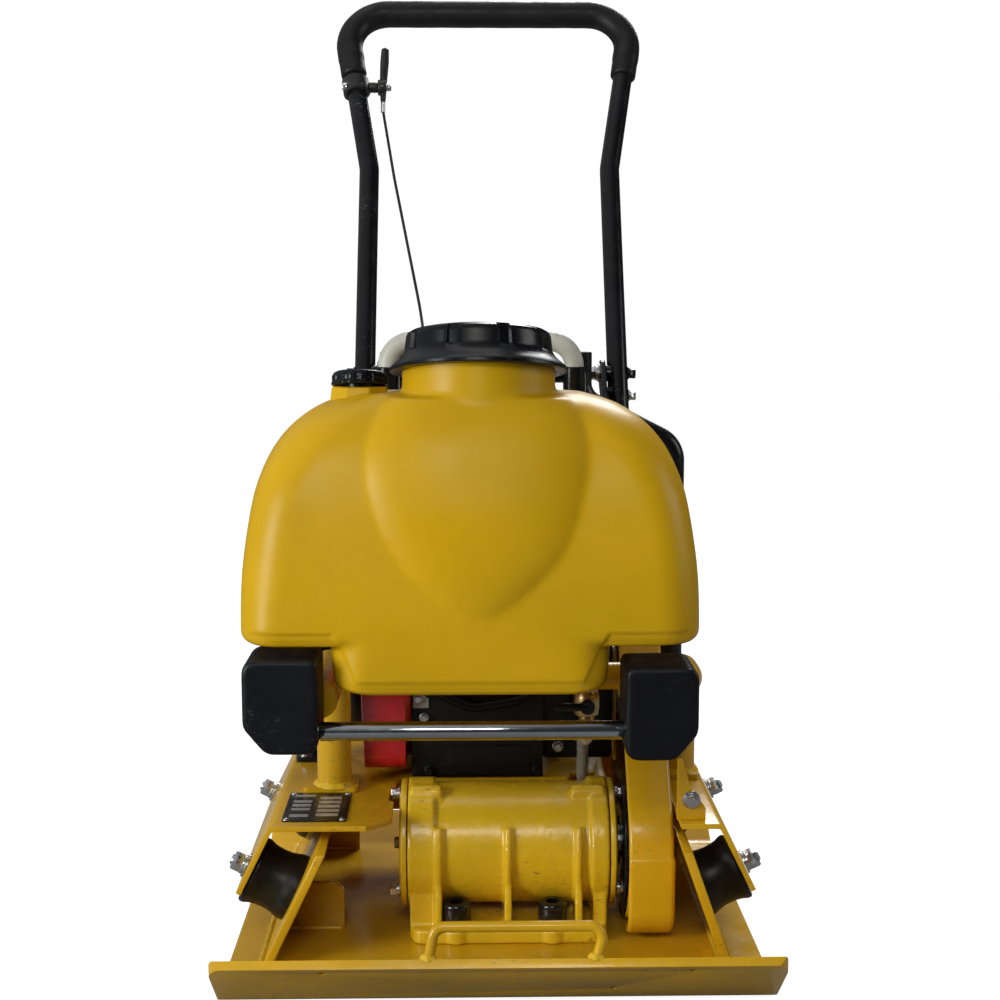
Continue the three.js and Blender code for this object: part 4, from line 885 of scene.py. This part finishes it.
shield = [prism("y", rounded([(60, 139, 3), (118, 139, 3), (118, 300, 8), (60, 300, 8)]), 190, 193),
    prism("x", rounded([(190, 139), (214, 139, 6), (214, 300, 6), (190, 300)]), 115, 118)]
piece("side_shield", shield, "deck", ENGINE, edge=0.8)
fins = [slab(78, 150, 36, 8)] + [slab(83 + 9.4 * k, 86 + 9.4 * k, 49) for k in range(8)]
barrel = piece("cylinder_fins", fins, "deck", ALLOY, "cylinder")
limit = prism("x", [(47, 100), (176.4, 100), (176.4, 176), (152.4, 318.4), (47, 318.4)], -100, 90)
carve(barrel, [limit], use_self=True)
bevel(barrel, 0.7, 2)
dress(barrel, alloy)
piece("head_cover", [slab(150.4, 160, 44, 10), slab(158, 182, 38, 12)], "deck", ENGINE, "valve_cover", edge=2.5,
    segments=4)
axis = (on_cylinder(1) - on_cylinder(0)).normalized()
corners = [on_cylinder(160) + Vector((dx * 1.12, 0, 0)) + axis.cross(X_AXIS) * up * 1.16 for dx in (-34, 34)
    for up in (-30, 30)]
piece("head_cover_bolts", bolts(corners, axis, 6, 4.4), "deck", ZINC)

shroud_out, shroud_in = (round_two((*CRANK, 100 + wall), (214, 290, 52 + wall)) for wall in (4, 0))
piece("fan_shroud", [prism("x", shroud_out, -134, -84)], "deck", RED, "fan_housing", edge=5, segments=5,
    hollow=[prism("x", shroud_in, -130, -80), axle(-140, -120, CRANK, 60, 80, 0)], crease=40)
foot = rounded([(72, 150), (8, 150, 16), (8, 226)], 8) + arc(CRANK, 101, range(-109, -172, -7)[::-1])
piece("fan_foot", [prism("x", foot, -131, -89)], "deck", RED, edge=2.5, segments=4)

dome = [(0, 0), (0, 20), (0.5, 40), (2.5, 56), (6, 69), (10.5, 77.5), (16, 82), (20, 83.5), (26, 84), (26, 80.5),
    (17, 79), (11.5, 75), (8, 67), (5.5, 55), (4, 40), (4, 0)]
slots = [vane(-175, 32, 2 * pi * k / 16, (30, -2, 2), (66, -4.2, 4.2)) for k in range(16)]
piece("starter_cover", [lathe(dome, (-160.4, *CRANK), X_AXIS, 96)], "deck", PLASTIC, "recoil_cover", hollow=slots,
    crease=35)
piece("starter_screws", bolts([around(-135.5, CRANK, 81, 40 + 120 * k) for k in range(3)], -X_AXIS, 7, 5), "deck", ZINC)

grip_at, pull = Vector((-153, 193, 300)), Vector((0, 0.857, 0.515))
grip_bar = [(-8, 0), (-8, 5.5), (-7, 6.8), (-4, 7), (5, 6.2), (14, 7), (17, 6.8), (18, 5.5), (18, 0)]
grip_shells = [tube([grip_at + pull * far for far in (0, 6, 14)], lambda s: 3.2 + 1.6 * s, 20, 0.5),
    lathe(grip_bar, grip_at + pull * 17.5, X_AXIS, 32)]
piece("starter_handle", grip_shells, "starter", PLASTIC, "recoil_grip")
piece("starter_guide", [ring(7.5, 3.0, grip_at - pull * 31, grip_at - pull * 1.5, 32)], "deck", PLASTIC)
piece("starter_rope", [tube([grip_at + pull * (2 * k - 30) for k in range(18)], 1.9, 16, 0.3)],
    ("deck", "starter", grip_at - pull * 29, grip_at + pull * 3), SLEEVE)

FILLER = (-28, 150)
piece("fuel_shell", [block(-118, 62, 38, 200, 384, 466)], "deck", FUEL, "fuel_tank", edge=24, segments=8)
seam = [pad("z", -117.9, 61.9, 38.1, 199.9, 25, 420.5, 423, 10), rod((*FILLER, 440), (*FILLER, 474), 17, 48),
    block(-79, -55, 84, 140, 318.6, 392), block(16, 46, 84, 140, 318.6, 392)]
piece("fuel_seam", seam, "deck", FUEL, edge=0.8)
lid_profile = [(11, 0), (11, 18), (0, 18), (0, 27), (2, 29), (12, 28.4), (15, 26.5), (16, 24), (16.3, 12), (16, 0)]
piece("fuel_lid_cap", [lathe(lid_profile, (*FILLER, 466.4), (0, 0, 1), 120, grips(12, 1.2, 1.9, 13, 0.3))], "fuel_lid",
    PLASTIC, "fuel_cap", crease=35)

filter_line = rounded([(-118, 358, 12), (-36, 358, 12), (-36, 452, 18), (-118, 452, 18)], 8)
piece("filter_case", [prism("y", filter_line, 212, 262), prism("y", filter_line, 264, 300)], "deck", PLASTIC,
    "air_cleaner", edge=3, segments=4)
piece("filter_knob", [lathe([(0, 0), (0, 9), (2, 10), (8, 10), (10, 8), (10, 0)], (-77, 290, 405), Y_AXIS,
    48, lambda a, along, r: r + 0.8 * cos(6 * a))], "deck", PLASTIC)
can, can_shield = (pad("y", 36, 116, 352, 430, 26, y0, y1, 8) for y0, y1 in ((218, 312), (312.6, 316)))
piece("muffler_can", [can], "deck", MUFFLER, "muffler", edge=3, segments=4)
piece("muffler_shield", [can_shield], "deck", MUFFLER, edge=0.8,
    cuts=[pad("y", 48 + 12 * k, 53 + 12 * k, 366, 416, 2.4, 311, 320, 4) for k in range(5)])
carb = [block(-82, -62, 201, 246, 316, 357.6),
    lathe([(0, 0), (0, 7), (3, 9), (22, 9), (22, 0)], (-72, 232, 296), (0, 0, 1), 32),
    axle(-86, -62, (236, 336), 3.4, 20), rod((-72, 206, 353), (-72, 206, 358), 3.6, 20)]
piece("carb_body", carb, "deck", ALLOY, "carburettor", edge=1.2)

# ---------------- lifting frame, bail
posts = [tube(bent([(leg, 112, ON_DECK), (leg, 112, 470, 26), (neck, 112, 520, 26), (neck, 112, 568)], 10), 12, 36)
    for leg, neck in ((-182, -105), (190, 92))]
posts += [axle(-105, 92, (112, 545), 9, 32)]
posts += [pad("z", x0, x1, 86, 138, 5, ON_DECK, ON_DECK + 5) for x0, x1 in ((-208, -166), (174, 208))]
piece("frame_posts", posts, "deck", TUBE, "lifting_frame")
PIVOT = (170, 543)
ear = rounded([(100, 497, 6), (126, 497, 6), (184, 530, 13), (184, 557, 13), (157, 557, 13)], 8)
for label, x in (("left", -119.5), ("right", 119.5)):
    piece(f"frame_ear_{label}", [prism("x", ear, x - 2.5, x + 2.5)], "deck", TUBE, edge=0.7,
        cuts=[axle(x - 9, x + 9, PIVOT, 6.5, 32, 0)])
feet = [(x, y, ON_DECK + 5) for x in (-199, -173, 181, 201) for y in (94, 130)]
piece("frame_foot_bolts", bolts(feet, (0, 0, 1), 8, 5.6), "deck", ZINC)
hoop = bent([(-108, 89, 500), (-108, 89, 580, 26), (84, 89, 580, 26), (84, 89, 500)], 12)
tongues = [block(x0, x1, 89, 99.7, 520, 548) for x0, x1 in ((-116, -96), (78, 96))]
piece("bail_hoop", [tube(hoop, 10, 36)] + tongues, "deck", ("bail_grey", bail_grey), "lifting_bail")
piece("bail_sleeves", [tube([(x, 89, z) for z in (503, 520, 540, 554)], 11.4, 32, 1.2) for x in (-108, 84)], "deck",
    TUBE)

# ---------------- folding handle
END, KINK, TOP = (136, 147, 500), (136, 290, 768), (170, 396, 955)


def hoop_through(*right, steps):
    """Bent line of the handle from the left side to the right one, which is given from its end upwards."""
    left = [(-p[0], *p[1:]) for p in right]
    return bent(left + list(right[::-1]), steps)


def on_handle(share, side=-1):
    """Place on the upper part of a side tube."""
    x, y, z = (low + (high - low) * share for low, high in zip(KINK, TOP))
    return Vector((side * x, y, z))


piece("handle_tube", [tube(hoop_through(END, (*KINK, 60), (*TOP, 46), steps=14), 11, 40, 1.2)], "handle", TUBE,
    "handle_frame")
links, studs, pins = [], [], []
for side in (-1, 1):
    outward, inward = (side, 0, 0), (-side, 0, 0)
    links += [axle(side * 122.3, side * 136, PIVOT, 9, 36), *bolt((side * 146.6, *PIVOT), outward, 10, 7),
        *bolt((side * 129, 153.5, 524), inward, 9, 6)]
    studs += bolt((side * 146.8, 157.5, 520), outward, 9, 6.4) + bolt((side * 125.4, 157.5, 520), inward, 9, 6.4)
    pins.append([axle(side * 114.7, side * 122, PIVOT, 6.2, 32), *bolt((side * 116.7, *PIVOT), inward, 13, 10)])
piece("handle_links", links, "handle", TUBE)
piece("handle_bolts", studs, "handle", ZINC)
for label, pin in zip(("left", "right"), pins):
    piece(f"pivot_pin_{label}", pin, "deck", ZINC, f"pivot_bolt_{label}")

fine = []
grip_line = hoop_through(tuple(on_handle(0.58, 1)), (*TOP, 46), steps=16)
for a, b in zip(grip_line, grip_line[1:]):
    n = max(int((b - a).length / 4), 1)
    fine += [a.lerp(b, k / n) for k in range(n)]


def foam_radius(share):
    thinner = 0.56 if share > 0.955 or share < 0.045 else 0.0
    return 15.2 - thinner + 0.08 * sin(share * 61) + 0.05 * sin(share * 143)


piece("foam_grip", [tube(fine + grip_line[-1:], foam_radius, 40, 2.6)], "handle", ("grip_foam", foam), "handle_grip",
    crease=0)

# throttle clamp, lever and cable
low_at, high_at = on_handle(0.47), on_handle(0.56)
middle = (low_at + high_at) / 2
seat = middle + X_AXIS * 13
pin_at = seat + X_AXIS * 12.3
hub = pin_at + X_AXIS * 6
screw_at, lug_end = middle + Vector((-9, -12, 0)), middle + Vector((9, -12, 0))
clamp = [ring(15.5, 11.4, low_at, high_at, 48, 1.2), rod(seat, seat + X_AXIS * 12, 6, 32),
    rod(screw_at, lug_end, 4.2, 20)]
piece("lever_clamp", clamp, "handle", CONTROL, "throttle_clamp")
piece("lever_clamp_screw", bolt(screw_at, -X_AXIS, 7, 5), "handle", ZINC)
paddle, arm = ([hub + Vector(p) for p in line]
    for line in (((0, 0, 0), (0.6, 5, 14), (1.4, 11, 31), (2, 16, 46)), ((0, 0, 0), (0, -3, -8), (0, -6, -17))))
lever = [rod(pin_at, pin_at + X_AXIS * 9, 9, 40),
    tube(paddle, lambda s: 4.0 + 1.6 * s - (1.2 if s > 0.93 else 0), 24, 1.5), tube(arm, lambda s: 4 - s, 20, 1.0)]
piece("lever_paddle", lever, "throttle", CONTROL, "throttle_lever")
piece("lever_hub_screw", bolt(pin_at + X_AXIS * 9, X_AXIS, 7, 5), "throttle", ZINC)
top = pin_at + Vector((6, -8, -27))
cable_top = top + Vector((0, 0, -2))
piece("cable_ferrule", [tube([cable_top.lerp(arm[-1], k / 8) for k in range(9)], 2.6, 20, 0.3)],
    ("handle", "throttle", cable_top, arm[-1]), ZINC)
cable_line = bent([tuple(top), (top.x + 14, top.y - 45, top.z - 78, 200), (-70, 200, 575, 200), (-72, 206, 430, 60),
    (-72, 206, 358)], 14)
piece("cable_run", [tube(cable_line, 1.6, 16, 0.3)], ("deck", "handle", (-72, 203, 440), (-72, 203, 660)), SLEEVE,
    "throttle_cable")

# ---------------- carried-over nodes get a finish and soft edges
for node in ("exciter_bearing_left", "exciter_bearing_right", "eccentric_shaft"):
    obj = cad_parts[node]
    obj.data.materials.clear()
    obj.data.materials.append(turned)
    obj.modifiers.new("weld", "WELD").merge_threshold = 1e-5
    edge = obj.modifiers.new("edge", "BEVEL")
    edge.width, edge.segments, edge.limit_method, edge.angle_limit = 0.0006, 2, "ANGLE", radians(40)

# ---------------- floor and light; the camera sees both floor and sky nearly white, the object is lit by darker ones
FLOOR_HALF, FLOOR_Z, FLOOR_GLOW = 9, -0.0006, 0.92
SKY_SEEN, BRIGHT_SKY_AT = 1.02, (-0.50, 0.10, 0.86)
floor_mesh = bpy.data.meshes.new("floor")
floor_mesh.from_pydata([(x * FLOOR_HALF, y * FLOOR_HALF, FLOOR_Z) for x, y in ((-1, -1), (1, -1), (1, 1), (-1, 1))], [],
    [(0, 1, 2, 3)])
floor_mesh.materials.append(bpy.data.materials.new("floor"))
g = Graph(floor_mesh.materials[0])
seen = g.node("ShaderNodeLightPath").outputs["Is Camera Ray"]
glow = g.node("ShaderNodeMapRange", Value=seen, To_Max=FLOOR_GLOW).outputs["Result"]
g.shade(Base_Color=(0.27, 0.27, 0.27, 1), Roughness=0.8, Specular_IOR_Level=0.1, Emission_Color=(1, 1, 1, 1),
    Emission_Strength=glow)
add("floor", floor_mesh)

scene.world = bpy.data.worlds.new("studio")
g = Graph(scene.world, "Background", "Generated")
facing = g.node("ShaderNodeVectorMath", operation="DOT_PRODUCT")
g.put(facing.inputs[0], g.place)
g.put(facing.inputs[1], BRIGHT_SKY_AT)
shown = g.node("ShaderNodeMix")
g.put(shown.inputs[0], g.node("ShaderNodeLightPath").outputs["Is Camera Ray"])
g.put(shown.inputs[2], g.ramp(facing.outputs["Value"], 0.25, 0.95, 0.05, 0.5))
g.put(shown.inputs[3], SKY_SEEN)
g.shade(Color=(1, 1, 1, 1), Strength=shown.outputs[0])
scene.view_settings.view_transform = "Standard"

for name, at, target, size, watts, tint in (("key", (-2.2, -1.6, 0.9), 0.36, (0.9, 1.2), 54, (0.97, 1.0, 0.93)),
        ("front", (-0.2, -2.5, 1.9), 0.3, (0.9, 0.7), 18, (1.0, 0.97, 0.92)),
        ("top", (-0.2, 0.5, 2.9), 0.3, (1.6, 0.8), 5, (1, 1, 1)),
        ("right", (2.4, -0.2, 1.3), 0.35, (1.0, 1.2), 13, (1, 1, 1)),
        ("rear", (0.6, 2.3, 2.2), 0.5, (1.2, 1.2), 55, (1, 1, 1))):
    lamp = bpy.data.lights.new(name, "AREA")
    lamp.shape, lamp.size, lamp.size_y = "RECTANGLE", *size
    lamp.energy, lamp.color = watts, tint
    obj = add(name, lamp)
    obj.location = at
    obj.rotation_euler = (Vector((0, 0, target)) - Vector(at)).to_track_quat("-Z", "Y").to_euler()
